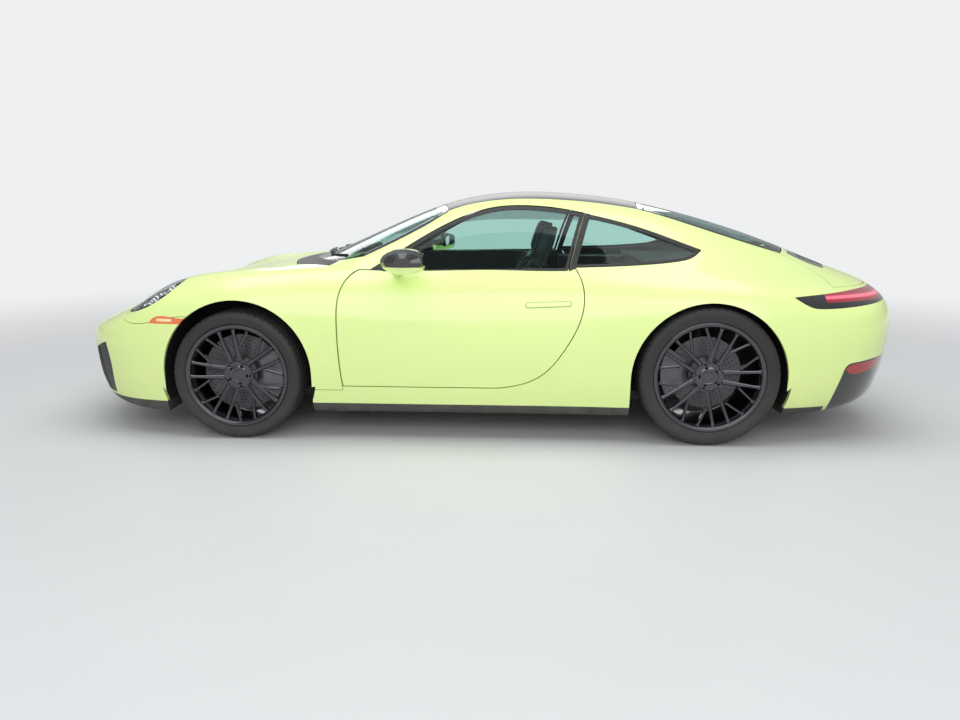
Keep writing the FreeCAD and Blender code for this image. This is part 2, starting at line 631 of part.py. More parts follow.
def outline_face(segments, point, normal, margin=0.0):
    runs = closed_runs(segments, point)
    if margin:
        runs = shifted(runs, margin, normal)
    return Part.Face(Part.Wire([Part.makeLine(*run) if len(run) == 2 else curve_through(run)
                                for run in runs]))


def side_prism(segments, margin=0.0, inner_y=0.0):
    """Side outline as a block on the left, from inner_y out past the skin."""
    def place(x, z):
        return V(x * HALF_LENGTH, -inner_y, z * HEIGHT)
    face = outline_face(segments, place, V(0, 1, 0), margin)
    return face.extrude(V(0, inner_y - HALF_WIDTH - OVERRUN, 0))


def plan_prism(segments, margin=0.0):
    """Plan outline of the left half as a tall block above the car's waist."""
    def place(x, y):
        return V(x * HALF_LENGTH, -y * HALF_WIDTH, PLAN_FLOOR_Z)
    return outline_face(segments, place, V(0, 0, 1), margin).extrude(V(0, 0, HEIGHT))


def front_prism(segments):
    """Front view outline as a block from ahead of the nose back to the front axle."""
    def place(y, z):
        return V(FRONT_X, -y * HALF_WIDTH, z * HEIGHT)
    face = outline_face(segments, place, V(1, 0, 0))
    return face.extrude(V(-HALF_LENGTH - FRONT_X - OVERRUN, 0, 0))


# Headlamps
def lamp_block():
    """Oval column through the left headlamp, square to the wing there."""
    centre = V(LAMP_X, -LAMP_Y, LAMP_Z)
    slope = math.radians(LAMP_SLOPE)
    long_way = V(-math.cos(slope), LAMP_TOE_SHARE, -math.sin(slope)).normalize()
    out = V(-math.sin(slope), -LAMP_LEAN_SHARE, math.cos(slope))
    wide = long_way.cross(out).normalize()
    out = wide.cross(long_way)
    ellipse = Part.Ellipse(centre + long_way * LAMP_HALF_LENGTH, centre + wide * LAMP_HALF_WIDTH,
                           centre)
    face = Part.Face(Part.Wire(ellipse.toShape()))
    face.translate(out * -LAMP_DEPTH)
    return face.extrude(out * 2 * LAMP_DEPTH)


# Wheel arches and wells
def arch_cutter(x, z, arch_radius, inner_y):
    """Room for a left wheel: the visible arch, and a roomier well behind its lip."""
    arch = rod_y(arch_radius, -HALF_WIDTH - OVERRUN, -inner_y, x, z)
    well = rod_y(arch_radius + ARCH_RELIEF, ARCH_LIP_DEPTH - HALF_WIDTH, -inner_y, x, z)
    foot = box(x - arch_radius, x + arch_radius, -HALF_WIDTH - OVERRUN, -inner_y, 0, z)
    return arch.fuse([well, foot])


ARCHES = [arch_cutter(FRONT_X, FRONT_ARCH_Z, FRONT_ARCH_RADIUS, FRONT_WELL_INNER_Y),
          arch_cutter(REAR_X, REAR_ARCH_Z, REAR_ARCH_RADIUS, REAR_WELL_INNER_Y)]
OUTER = skin(0).cut(ARCHES)


def let_in(block, depth):
    """What lies inside the block and within depth of the outside."""
    return OUTER.common(block).cut(skin(depth))


def recess(block, depth):
    return block.cut(skin(depth))


# Rooms inside the body
def cabin_space():
    low = left_box(CABIN_FRONT_X, REAR_FLOOR_X, CABIN_HALF_WIDTH, CABIN_FLOOR_Z,
                   GLASSHOUSE_Z + RUNNING_FIT)
    rear = left_box(REAR_FLOOR_X - RUNNING_FIT, CABIN_REAR_X, REAR_WELL_INNER_Y - PANEL_THICKNESS,
                    REAR_FLOOR_Z, GLASSHOUSE_Z + RUNNING_FIT)
    high = left_box(CABIN_FRONT_X, CABIN_REAR_X, HALF_WIDTH, GLASSHOUSE_Z, HEIGHT)
    shelf = left_box(CABIN_REAR_X, SHELF_REAR_X, HALF_WIDTH, SHELF_Z, HEIGHT)
    return skin(PILLAR_THICKNESS).common(low.fuse([rear, high, shelf]))


def tub_space():
    room = left_box(TUB_FRONT_X, TUB_REAR_X, TUB_HALF_WIDTH, TUB_FLOOR_Z, HEIGHT)
    under = plan_prism(FRONT_LID_SHARES, -SEAT_LEDGE)
    well = left_box(TUB_FRONT_X, TUB_REAR_X, TUB_HALF_WIDTH, TUB_FLOOR_Z, PLAN_FLOOR_Z)
    return room.common(under).fuse(well)


def bay_space():
    room = left_box(BAY_FRONT_X, BAY_REAR_X, BAY_HALF_WIDTH, BAY_FLOOR_Z, HEIGHT)
    return room.common(skin(PILLAR_THICKNESS)).fuse(
        room.common(plan_prism(REAR_LID_SHARES, -SEAT_LEDGE)))
# Outlines seen from the side: shares of half the length and of the height.
DOOR_SHARES = (
    ((-0.276, 0.686), (-0.303, 0.647), (-0.318, 0.586), (-0.322, 0.493),
     (-0.321, 0.409), (-0.317, 0.293), (-0.312, 0.220)),
    ((-0.312, 0.220), (0.037, 0.220)),
    ((0.037, 0.220), (0.083, 0.230), (0.143, 0.273), (0.197, 0.382),
     (0.232, 0.505), (0.239, 0.591), (0.219, 0.697)),
    ((0.219, 0.697), (0.215, 0.696), (0.056, 0.691), (-0.120, 0.686), (-0.276, 0.686)),
)
DOOR_GLASS_SHARES = (
    ((-0.257, 0.675), (-0.120, 0.675), (0.056, 0.680), (0.201, 0.684)),
    ((0.201, 0.684), (0.220, 0.801), (0.239, 0.906)),
    ((0.239, 0.906), (0.184, 0.924), (0.110, 0.935), (0.044, 0.931),
     (-0.026, 0.901), (-0.101, 0.841), (-0.176, 0.763), (-0.257, 0.675)),
)
QUARTER_SHARES = (
    ((0.215, 0.697), (0.320, 0.703), (0.395, 0.710), (0.457, 0.720), (0.488, 0.732), (0.507, 0.751)),
    ((0.507, 0.751), (0.513, 0.759), (0.505, 0.767)),
    ((0.505, 0.767), (0.452, 0.801), (0.395, 0.837), (0.321, 0.875), (0.251, 0.903)),
    ((0.251, 0.903), (0.232, 0.801), (0.215, 0.697)),
)
FENDER_SHARES = (
    ((-0.896, 0.586), (-0.872, 0.532), (-0.843, 0.484), (-0.813, 0.467)),
    ((-0.813, 0.467), (-0.765, 0.471), (-0.747, 0.478), (-0.637, 0.489)),
    ((-0.637, 0.489), (-0.556, 0.385)),
    ((-0.556, 0.385), (-0.439, 0.203)),
    ((-0.439, 0.203), (-0.312, 0.203)),
    ((-0.312, 0.203), (-0.312, 0.220)),
    ((-0.312, 0.220), (-0.317, 0.293), (-0.321, 0.409), (-0.322, 0.493),
     (-0.318, 0.586), (-0.303, 0.647), (-0.276, 0.686)),
    ((-0.276, 0.686), (-0.276, 0.847)),
    ((-0.276, 0.847), (-0.896, 0.847)),
)
FRONT_BUMPER_SHARES = (
    ((-1.010, 0.092), (-1.010, 0.770)),
    ((-1.010, 0.770), (-0.896, 0.770)),
    ((-0.896, 0.770), (-0.896, 0.586)),
    ((-0.896, 0.586), (-0.872, 0.532), (-0.843, 0.484), (-0.813, 0.467)),
    ((-0.813, 0.467), (-0.765, 0.471), (-0.747, 0.478), (-0.637, 0.489)),
    ((-0.637, 0.489), (-0.571, 0.385)),
    ((-0.571, 0.385), (-0.659, 0.148)),
    ((-0.659, 0.148), (-0.659, 0.092)),
)
MARKER_SHARES = (
    ((-0.758, 0.471), (-0.745, 0.495), (-0.703, 0.499), (-0.655, 0.502)),
    ((-0.655, 0.502), (-0.655, 0.472)),
    ((-0.655, 0.472), (-0.758, 0.471)),
)
TAIL_LAMP_SHARES = (
    ((0.699, 0.592), (0.733, 0.596), (0.770, 0.599), (0.832, 0.604), (0.907, 0.609), (1.010, 0.612)),
    ((1.010, 0.612), (1.010, 0.561)),
    ((1.010, 0.561), (0.918, 0.559), (0.869, 0.554), (0.812, 0.549),
     (0.764, 0.548), (0.742, 0.552), (0.730, 0.560), (0.699, 0.592)),
)
REAR_BUMPER_SHARES = (
    ((0.593, 0.148), (0.593, 0.462)),
    ((0.593, 0.462), (0.650, 0.493), (0.720, 0.532), (0.747, 0.574)),
    ((0.747, 0.574), (1.010, 0.586)),
    ((1.010, 0.586), (1.010, 0.148)),
    ((1.010, 0.148), (0.593, 0.148)),
)
DIFFUSER_SHARES = (
    ((0.802, 0.148), (0.809, 0.198), (0.819, 0.263), (0.826, 0.311)),
    ((0.826, 0.311), (0.837, 0.329), (0.854, 0.334), (0.891, 0.341), (0.945, 0.348)),
    ((0.945, 0.348), (1.024, 0.354)),
    ((1.024, 0.354), (1.024, 0.092)),
    ((1.024, 0.092), (0.802, 0.092)),
    ((0.802, 0.092), (0.802, 0.148)),
)
REFLECTOR_SHARES = (
    ((0.828, 0.307), (0.840, 0.323), (0.861, 0.328), (0.891, 0.334), (0.922, 0.337)),
    ((0.922, 0.337), (0.925, 0.299)),
    ((0.925, 0.299), (0.886, 0.292), (0.839, 0.290), (0.828, 0.307)),
)

# Outlines seen from the front, left half: shares of half the width and of the height.
SIDE_INTAKE_SHARES = (
    ((0.799, 0.158), (0.832, 0.247), (0.844, 0.316), (0.834, 0.379)),
    ((0.834, 0.379), (0.756, 0.358), (0.691, 0.341), (0.464, 0.327)),
    ((0.464, 0.327), (0.464, 0.158)),
    ((0.464, 0.158), (0.799, 0.158)),
)
MIDDLE_INTAKE_SHARES = (
    ((0.000, 0.158), (0.423, 0.158)),
    ((0.423, 0.158), (0.423, 0.254)),
    ((0.423, 0.254), (0.400, 0.270)),
    ((0.400, 0.270), (0.000, 0.270)),
)

# Outlines seen from above, one half: shares of half the length and of half the width.
FRONT_LID_SHARES = (
    ((-0.925, 0.000), (-0.919, 0.205), (-0.901, 0.367), (-0.861, 0.467)),
    ((-0.861, 0.467), (-0.791, 0.521), (-0.659, 0.572), (-0.549, 0.611), (-0.439, 0.637)),
    ((-0.439, 0.637), (-0.459, 0.464), (-0.477, 0.259), (-0.483, 0.000)),
)
COWL_SHARES = (
    ((-0.483, 0.000), (-0.477, 0.259), (-0.459, 0.464), (-0.439, 0.637)),
    ((-0.439, 0.637), (-0.351, 0.756)),
    ((-0.351, 0.756), (-0.334, 0.691)),
    ((-0.334, 0.691), (-0.387, 0.540), (-0.420, 0.324), (-0.433, 0.000)),
)
CENTRE_TOP_SHARES = (
    ((-0.925, 0.000), (-0.919, 0.205), (-0.901, 0.367), (-0.861, 0.467)),
    ((-0.861, 0.467), (-0.791, 0.521), (-0.659, 0.572), (-0.549, 0.611), (-0.439, 0.637)),
    ((-0.439, 0.637), (-0.351, 0.756)),
    ((-0.351, 0.756), (-0.281, 0.821)),
    ((-0.281, 0.821), (-0.220, 0.821)),
    ((-0.220, 0.821), (-0.220, 0.000)),
)
WINDSCREEN_SHARES = (
    ((-0.433, 0.000), (-0.420, 0.324), (-0.387, 0.540), (-0.334, 0.691)),
    ((-0.334, 0.691), (-0.272, 0.726)),
    ((-0.272, 0.726), (-0.176, 0.678), (-0.092, 0.589), (-0.077, 0.553)),
    ((-0.077, 0.553), (-0.094, 0.324), (-0.108, 0.000)),
)
ROOF_SHARES = (
    ((-0.108, 0.000), (-0.094, 0.324), (-0.077, 0.553)),
    ((-0.077, 0.553), (-0.026, 0.524), (0.110, 0.508), (0.246, 0.488), (0.373, 0.448)),
    ((0.373, 0.448), (0.382, 0.216), (0.387, 0.000)),
)
REAR_WINDOW_SHARES = (
    ((0.387, 0.000), (0.382, 0.216), (0.373, 0.448)),
    ((0.373, 0.448), (0.483, 0.459), (0.615, 0.459), (0.720, 0.432)),
    ((0.720, 0.432), (0.747, 0.216), (0.752, 0.000)),
)
REAR_LID_SHARES = (
    ((0.752, 0.000), (0.747, 0.216), (0.720, 0.432)),
    ((0.720, 0.432), (0.764, 0.508), (0.796, 0.583), (0.806, 0.691), (0.812, 0.734)),
    ((0.812, 0.734), (0.835, 0.691), (0.872, 0.616), (0.908, 0.518),
     (0.941, 0.324), (0.951, 0.108), (0.953, 0.000)),
)
GRILLE_SHARES = (
    ((0.767, 0.000), (0.762, 0.205), (0.745, 0.378)),
    ((0.745, 0.378), (0.782, 0.423), (0.828, 0.432)),
    ((0.828, 0.432), (0.846, 0.259), (0.852, 0.000)),
)


# Lamps
def lip_box():
    return left_box(-LENGTH, TRAY_REAR_X, WIDTH, 0, TRAY_TOP_Z)


def marker_block():
    return side_prism(MARKER_SHARES, 0, MARKER_INNER_Y)


def reflector_block():
    return recess(side_prism(REFLECTOR_SHARES, 0, REFLECTOR_INNER_Y), REFLECTOR_THICKNESS)


def headlamp():
    return let_in(lamp_block(), LAMP_THICKNESS)


def tail_lamps():
    """Lamps at both corners joined across the tail by the light bar."""
    return whole(let_in(side_prism(TAIL_LAMP_SHARES), TAIL_LAMP_THICKNESS))


def marker():
    return let_in(marker_block(), PANEL_THICKNESS)


def reflector():
    return OUTER.common(reflector_block())


# Glass and roof
def windscreen():
    return whole(let_in(plan_prism(WINDSCREEN_SHARES), GLASS_THICKNESS))


def rear_window():
    return whole(let_in(plan_prism(REAR_WINDOW_SHARES), GLASS_THICKNESS))


def roof_panel():
    return whole(let_in(plan_prism(ROOF_SHARES, -SEAM), ROOF_THICKNESS))


def side_glass(segments):
    pane = skin(SIDE_GLASS_INSET).common(side_prism(segments))
    return pane.cut(skin(SIDE_GLASS_INSET + GLASS_THICKNESS))


# Painted panels
def door():
    slab = OUTER.common(side_prism(DOOR_SHARES, -LID_GAP, CABIN_HALF_WIDTH))
    return slab.cut(side_glass(DOOR_GLASS_SHARES))


def front_lid():
    return whole(let_in(plan_prism(FRONT_LID_SHARES, -LID_GAP), LID_THICKNESS))


def rear_lid():
    lid = let_in(plan_prism(REAR_LID_SHARES, -LID_GAP), LID_THICKNESS)
    return whole(lid.cut([let_in(plan_prism(GRILLE_SHARES), GRILLE_THICKNESS),
                          side_prism(TAIL_LAMP_SHARES, LID_GAP)]))


def rear_grille():
    """Black air grille let into the rear lid, with cross slots on both sides of a spine."""
    frame = let_in(plan_prism(GRILLE_SHARES), GRILLE_THICKNESS)
    slots = []
    for index in range(GRILLE_SLOTS):
        x = GRILLE_FRONT_X + index * GRILLE_PITCH
        slots.append(box(x, x + GRILLE_SLOT_WIDTH, -GRILLE_HALF_WIDTH, -GRILLE_SPINE_HALF,
                         PLAN_FLOOR_Z, HEIGHT))
    return whole(frame.cut(slots))


def cowl():
    return whole(let_in(plan_prism(COWL_SHARES), PANEL_THICKNESS))


def intake_blocks():
    return [front_prism(SIDE_INTAKE_SHARES), front_prism(MIDDLE_INTAKE_SHARES)]


def nose_moved_back(distance):
    """The skin shifted rearwards: a floor for what is let into the nose."""
    moved = skin(0).copy()
    moved.translate(V(distance, 0, 0))
    return moved.common(left_box(-LENGTH, FRONT_X, WIDTH, 0, PLAN_FLOOR_Z))


def front_bumper():
    region = side_prism(FRONT_BUMPER_SHARES).cut(lip_box())
    cover = let_in(region, PANEL_THICKNESS)
    return whole(cover.cut([plan_prism(CENTRE_TOP_SHARES), lamp_block(), marker_block()]
                           + intake_blocks()))


def front_trim():
    """Black intake linings: a back plate with upright slats, and one bar across the middle."""
    back = nose_moved_back(INTAKE_DEPTH - INTAKE_BACK_THICKNESS)
    nose, deep = nose_moved_back(SLAT_INSET), nose_moved_back(INTAKE_DEPTH)
    side, middle = [block.common(nose).cut(deep) for block in intake_blocks()]
    slots = []
    for index in range(SLATS_PER_SIDE + 1):
        y = SLAT_FIRST_Y + index * SLAT_PITCH
        y0 = y - SLAT_PITCH + SLAT_THICKNESS / 2
        y1 = y - SLAT_THICKNESS / 2
        if index == 0:
            y0 -= OVERRUN
        slots.append(box(-LENGTH, FRONT_X, -y1, -y0, 0, HEIGHT).cut(back))
    bands = [left_box(-LENGTH, FRONT_X, WIDTH, z0, z1).cut(back)
             for z0, z1 in ((0, BAR_Z), (BAR_Z + BAR_HEIGHT, HEIGHT))]
    side = side.cut(slots)
    return Part.makeCompound([side, mirrored(side), whole(middle.cut(bands))])


def front_fender():
    region = side_prism(FENDER_SHARES, -SEAM).cut(lip_box())
    wing = let_in(region, PANEL_THICKNESS)
    return wing.cut([plan_prism(CENTRE_TOP_SHARES, SEAM), lamp_block(), marker_block()])


def rear_bumper():
    cover = let_in(side_prism(REAR_BUMPER_SHARES), PANEL_THICKNESS)
    return whole(cover.cut([side_prism(DIFFUSER_SHARES), side_prism(TAIL_LAMP_SHARES),
                            plate_recess()]))


def tip_room():
    return rod_x(TIP_RADIUS + LID_GAP, TIP_FRONT_X, HALF_LENGTH + OVERRUN, -TIP_Y, TIP_Z)


def rear_diffuser():
    lower = let_in(side_prism(DIFFUSER_SHARES), DIFFUSER_THICKNESS)
    return whole(lower.cut([tip_room(), reflector_block(), plate_recess()]))


def plate_recess():
    return left_box(PLATE_X, HALF_LENGTH + OVERRUN, PLATE_HALF_WIDTH,
                    PLATE_FOOT_Z, PLATE_FOOT_Z + PLATE_HEIGHT)


def exhaust_tip():
    tip = rod_x(TIP_RADIUS, TIP_FRONT_X, TIP_REAR_X, -TIP_Y, TIP_Z)
    bore = rod_x(TIP_RADIUS - TIP_WALL, TIP_FRONT_X + TIP_WALL, TIP_REAR_X + OVERRUN,
                 -TIP_Y, TIP_Z)
    return tip.cut(bore)


def jack_pad(x):
    return rod_z(JACK_RADIUS, JACK_FOOT_Z, TRAY_TOP_Z, x, -JACK_Y)


def underbody():
    """Flat black trays, sill edges and the front lip, with pads for lifting the car."""
    tray = OUTER.common(lip_box())
    return whole(tray.fuse([jack_pad(JACK_FRONT_X), jack_pad(JACK_REAR_X)]))


# Hinge plates: each fills the gap round a door or lid but for a running fit
def door_hinge(foot_z):
    plate = box(-HALF_LENGTH, DOOR_HINGE_REAR_X, -DOOR_HINGE_OUTER_Y, -DOOR_HINGE_INNER_Y,
                foot_z, foot_z + DOOR_HINGE_HEIGHT)
    return plate.cut(side_prism(DOOR_SHARES, SEAT_FIT - LID_GAP))


def lid_hinge(outline, x0, x1, outer_y, foot_z):
    plate = box(x0, x1, -outer_y, LID_HINGE_WIDTH - outer_y, foot_z, foot_z + LID_HINGE_HEIGHT)
    return plate.cut(plan_prism(outline, SEAT_FIT - LID_GAP))


# Structure: one carcass that the panels, doors, lids and glass are let into, split where
# hidden panels meet
def make_carcass():
    floor_edge = left_box(-LENGTH, LENGTH, WIDTH, 0, SHELF_Z)
    panels = [side_prism(FENDER_SHARES), side_prism(FRONT_BUMPER_SHARES)]
    door_space = side_prism(DOOR_SHARES, 0, CABIN_HALF_WIDTH - LID_GAP).cut(
        [door_hinge(DOOR_HINGE_LOW_Z), door_hinge(DOOR_HINGE_HIGH_Z)])
    front_space = plan_prism(FRONT_LID_SHARES).cut(
        lid_hinge(FRONT_LID_SHARES, TUB_REAR_X, CABIN_FRONT_X, FRONT_HINGE_OUTER_Y, FRONT_HINGE_Z))
    rear_space = plan_prism(REAR_LID_SHARES).cut(
        lid_hinge(REAR_LID_SHARES, SHELF_REAR_X, ENGINE_REAR_X, REAR_HINGE_OUTER_Y, REAR_HINGE_Z))
    cuts = [
        cabin_space(), tub_space(), bay_space(), lip_box(),
        door_space,
        side_prism(DOOR_GLASS_SHARES, LID_GAP),
        side_prism(QUARTER_SHARES),
        plan_prism(WINDSCREEN_SHARES).cut(floor_edge),
        plan_prism(REAR_WINDOW_SHARES).cut(floor_edge),
        recess(front_space, LID_THICKNESS + LID_GAP),
        recess(rear_space, LID_THICKNESS + LID_GAP),
        recess(plan_prism(ROOF_SHARES), ROOF_THICKNESS), plan_prism(ROOF_SHARES, -ROOF_LEDGE),
        recess(plan_prism(COWL_SHARES), PANEL_THICKNESS),
        recess(side_prism(TAIL_LAMP_SHARES), TAIL_LAMP_THICKNESS),
        recess(side_prism(REAR_BUMPER_SHARES), PANEL_THICKNESS),
        recess(side_prism(DIFFUSER_SHARES), DIFFUSER_THICKNESS),
        recess(lamp_block(), LAMP_THICKNESS),
        plate_recess(), tip_room(),
    ]
    cuts += [recess(panel, PANEL_THICKNESS).cut(plan_prism(CENTRE_TOP_SHARES)) for panel in panels]
    deep = nose_moved_back(INTAKE_DEPTH)
    cuts += [block.cut(deep) for block in intake_blocks()]
    shell = OUTER
    for cut in cuts:
        shell = shell.cut(cut)
    return max(shell.Solids, key=lambda solid: solid.Volume)


CARCASS = make_carcass()
FRONT_ROOM = left_box(-LENGTH, CABIN_FRONT_X, WIDTH, 0, HEIGHT)
FLOOR_ROOM = left_box(CABIN_FRONT_X, CABIN_REAR_X, CABIN_HALF_WIDTH, 0, REAR_FLOOR_Z)
REAR_ROOM = left_box(CABIN_REAR_X, SHELF_REAR_X, REAR_WELL_INNER_Y, 0, SHELF_Z).fuse(
    left_box(SHELF_REAR_X, LENGTH, REAR_WELL_INNER_Y, 0, TAIL_PANEL_FOOT_Z))


def front_structure():
    """Luggage tub, inner wings and bulkhead."""
    return whole(CARCASS.common(FRONT_ROOM))


def floor_pan():
    """Cabin floor with its step up under the rear seats."""
    return whole(CARCASS.common(FLOOR_ROOM))


def rear_structure():
    """Rear bulkhead and the frame round the engine bay."""
    return whole(CARCASS.common(REAR_ROOM))


def body_shell():
    """Sills, pillars, roof rails and rear quarters: the painted sides and what joins them."""
    return whole(CARCASS.cut([FRONT_ROOM, FLOOR_ROOM, REAR_ROOM]))


# Mirrors
def oval(y, half_x, half_z):
    """Upright oval of straight sides."""
    turns = [2 * math.pi * k / MIRROR_SIDES for k in range(MIRROR_SIDES)]
    corners = [V(MIRROR_X + half_x * math.cos(turn), y, MIRROR_Z + half_z * math.sin(turn))
               for turn in turns]
    return Part.makePolygon(corners + corners[:1])


def mirror_shell(inset):
    """Ovals across the car, smallest at both ends, as one ruled loft."""
    rings = [oval(reach * (MIRROR_HALF_Y - inset) - MIRROR_Y, size * (MIRROR_HALF_X - inset),
                  size * (MIRROR_HALF_Z - inset)) for reach, size in MIRROR_OVAL_SHARES]
    return Part.makeLoft(rings, True, True)


def mirror_housing():
    behind = left_box(MIRROR_FACE_X, 0, WIDTH, 0, HEIGHT)
    pocket = mirror_shell(MIRROR_RIM).common(
        left_box(MIRROR_FACE_X - MIRROR_POCKET, MIRROR_FACE_X, WIDTH, 0, HEIGHT))
    stalk = rod_between(V(MIRROR_FOOT_X, -MIRROR_FOOT_Y, MIRROR_FOOT_Z),
                        V(MIRROR_X, -MIRROR_Y, MIRROR_Z), MIRROR_STALK_RADIUS)
    stalk = stalk.cut([OUTER, side_glass(DOOR_GLASS_SHARES)])
    return joined([mirror_shell(0), stalk]).cut([behind, pocket])


def mirror_glass():
    return mirror_shell(MIRROR_RIM).common(
        left_box(MIRROR_FACE_X - MIRROR_POCKET, MIRROR_FACE_X - MIRROR_POCKET + GLASS_THICKNESS,
                 WIDTH, 0, HEIGHT))


# Wheels. Each is made for the left side: out is away from the car, towards -Y.
class Wheel:
    def __init__(self, x, y, radius, width, bead, rim_width, face, pad_back, disc, first_angle):
        self.x, self.y, self.radius, self.width = x, y, radius, width
        self.bead, self.rim_width, self.face, self.pad_back = bead, rim_width, face, pad_back
        self.disc, self.first_angle = disc, first_angle

    def ring(self, profile):
        """Turned solid from places (radius, out from the middle plane)."""
        points = [V(self.x + r, -self.y - out, self.radius) for r, out in profile]
        face = Part.Face(Part.makePolygon(points + points[:1]))
        return face.revolve(V(self.x, 0, self.radius), V(0, 1, 0), FULL_TURN)

    def drum(self, radius, inner, outer):
        return rod_y(radius, -self.y - outer, -self.y - inner, self.x, self.radius)


FRONT_WHEEL = Wheel(FRONT_X, FRONT_WHEEL_Y, FRONT_TYRE_RADIUS, FRONT_TYRE_WIDTH, FRONT_BEAD_RADIUS,
                    FRONT_RIM_WIDTH, SPOKE_FACE_FRONT, PAD_BACK_FRONT, FRONT_DISC_RADIUS,
                    FRONT_LUG_ANGLE)
REAR_WHEEL = Wheel(REAR_X, REAR_WHEEL_Y, REAR_TYRE_RADIUS, REAR_TYRE_WIDTH, REAR_BEAD_RADIUS,
                   REAR_RIM_WIDTH, SPOKE_FACE_REAR, PAD_BACK_REAR, REAR_DISC_RADIUS,
                   REAR_LUG_ANGLE)


def tyre(wheel):
    """Ring of flat facets; one facet rests on the ground, and the inner ones touch the rim."""
    half, rim_half = wheel.width / 2, wheel.rim_width / 2
    flange = wheel.bead + FLANGE_HEIGHT
    one_side = [(wheel.bead, rim_half), (flange, rim_half),
                (wheel.radius - TYRE_SHOULDER, half), (wheel.radius, half - TYRE_SHOULDER)]
    profile = one_side + [(r, -out) for r, out in one_side[::-1]]
    step = 2 * math.pi / TYRE_SIDES
    rings = []
    for k in range(TYRE_SIDES):
        across = math.sin((k + 1 / 2) * step) / math.cos(step / 2)
        up = math.cos((k + 1 / 2) * step) / math.cos(step / 2)
        rings.append([V(wheel.x + r * across, -wheel.y - out, wheel.radius - r * up)
                      for r, out in profile])
    facets = []
    for k, ring in enumerate(rings):
        before = rings[k - 1]
        for j in range(len(profile)):
            corners = [before[j - 1], before[j], ring[j], ring[j - 1]]
            facets.append(Part.Face(Part.makePolygon(corners + corners[:1])))
    shell = Part.Shell(facets)
    return Part.Solid(shell)


def dish(wheel):
    """Slightly hollow disc that gives the spokes their front and back faces."""
    rim = wheel.bead - BARREL_THICKNESS / 2
    face, back = wheel.face, wheel.face - SPOKE_THICKNESS
    return wheel.ring([(0, face - SPOKE_DISH), (PAD_RADIUS, face - SPOKE_DISH),
                       (rim, face), (rim, back), (PAD_RADIUS, back - SPOKE_DISH),
                       (0, back - SPOKE_DISH)])


def spoke_bar(wheel, start, end, width_in, width_out):
    """Tapering bar between two places given as (radius, angle), through the whole wheel."""
    (r0, a0), (r1, a1) = start, end
    first = V(r0 * math.cos(a0), 0, r0 * math.sin(a0))
    last = V(r1 * math.cos(a1), 0, r1 * math.sin(a1))
    side = (last - first).cross(V(0, 1, 0)).normalize()
    corners = [first + side * (width_in / 2), last + side * (width_out / 2),
               last - side * (width_out / 2), first - side * (width_in / 2)]
    corners = [c + V(wheel.x, -wheel.y - wheel.radius, wheel.radius) for c in corners]
    return Part.Face(Part.makePolygon(corners + corners[:1])).extrude(V(0, 2 * wheel.radius, 0))


def spokes(wheel):
    """Five lug arms, each forking into four ends: twenty ends evenly round the rim."""
    rim = wheel.bead - BARREL_THICKNESS / 2
    step = 2 * math.pi / (LUGS * 4)
    bars = []
    for lug in range(LUGS):
        middle = math.radians(wheel.first_angle) + lug * 4 * step
        for sign in (-1, 1):
            start = (SPOKE_START_RADIUS, middle + sign * step / 2)
            far = (rim, middle + sign * step * 3 / 2)
            fork = (rim * SPOKE_FORK_SHARE, middle + sign * step)
            near = (rim, middle + sign * step / 2)
            bars.append(spoke_bar(wheel, start, far, SPOKE_WIDTH_IN, SPOKE_WIDTH_OUT))
            bars.append(spoke_bar(wheel, fork, near, SPOKE_WIDTH_OUT, SPOKE_WIDTH_OUT))
    return [bar.common(dish(wheel)) for bar in bars]


def lug_places(wheel, radius):
    turn = 2 * math.pi / LUGS
    for lug in range(LUGS):
        angle = math.radians(wheel.first_angle) + lug * turn
        yield radius * math.cos(angle), radius * math.sin(angle)


def rim(wheel):
    """Barrel, flanges, spokes and hub pad in one casting, with a plain round cap."""
    half, bead = wheel.rim_width / 2, wheel.bead
    inside, flange = bead - BARREL_THICKNESS, bead + FLANGE_HEIGHT
    barrel = wheel.ring([(inside, -half - FLANGE_THICKNESS), (flange, -half - FLANGE_THICKNESS),
                         (flange, -half), (bead, -half), (bead, half), (flange, half),
                         (flange, half + FLANGE_THICKNESS), (inside, half + FLANGE_THICKNESS)])
    pad_face = wheel.face - SPOKE_DISH
    pad = wheel.drum(PAD_RADIUS, wheel.pad_back, pad_face)
    cap = wheel.drum(CAP_RADIUS, pad_face - CAP_HEIGHT, pad_face + CAP_HEIGHT)
    whole = joined([barrel, pad, cap] + spokes(wheel))
    pockets = []
    for across, up in lug_places(wheel, LUG_CIRCLE_RADIUS):
        pockets.append(rod_y(LUG_HOLE_RADIUS, -wheel.y - wheel.face, LUG_HOLE_DEPTH - wheel.y
                             - pad_face, wheel.x + across, wheel.radius + up))
    return whole.cut(pockets)


def brake_disc(wheel):
    """Disc and its hat, turning on the spindle."""
    inner, outer = DISC_INNER, DISC_INNER + DISC_THICKNESS
    bore, hat = SPINDLE_RADIUS + RUNNING_FIT, HAT_RADIUS - HAT_WALL
    face, floor = wheel.pad_back, wheel.pad_back - HAT_DEPTH
    return wheel.ring([(bore, floor), (hat, floor), (hat, inner), (wheel.disc, inner),
                       (wheel.disc, outer), (HAT_RADIUS, outer), (HAT_RADIUS, face), (bore, face)])


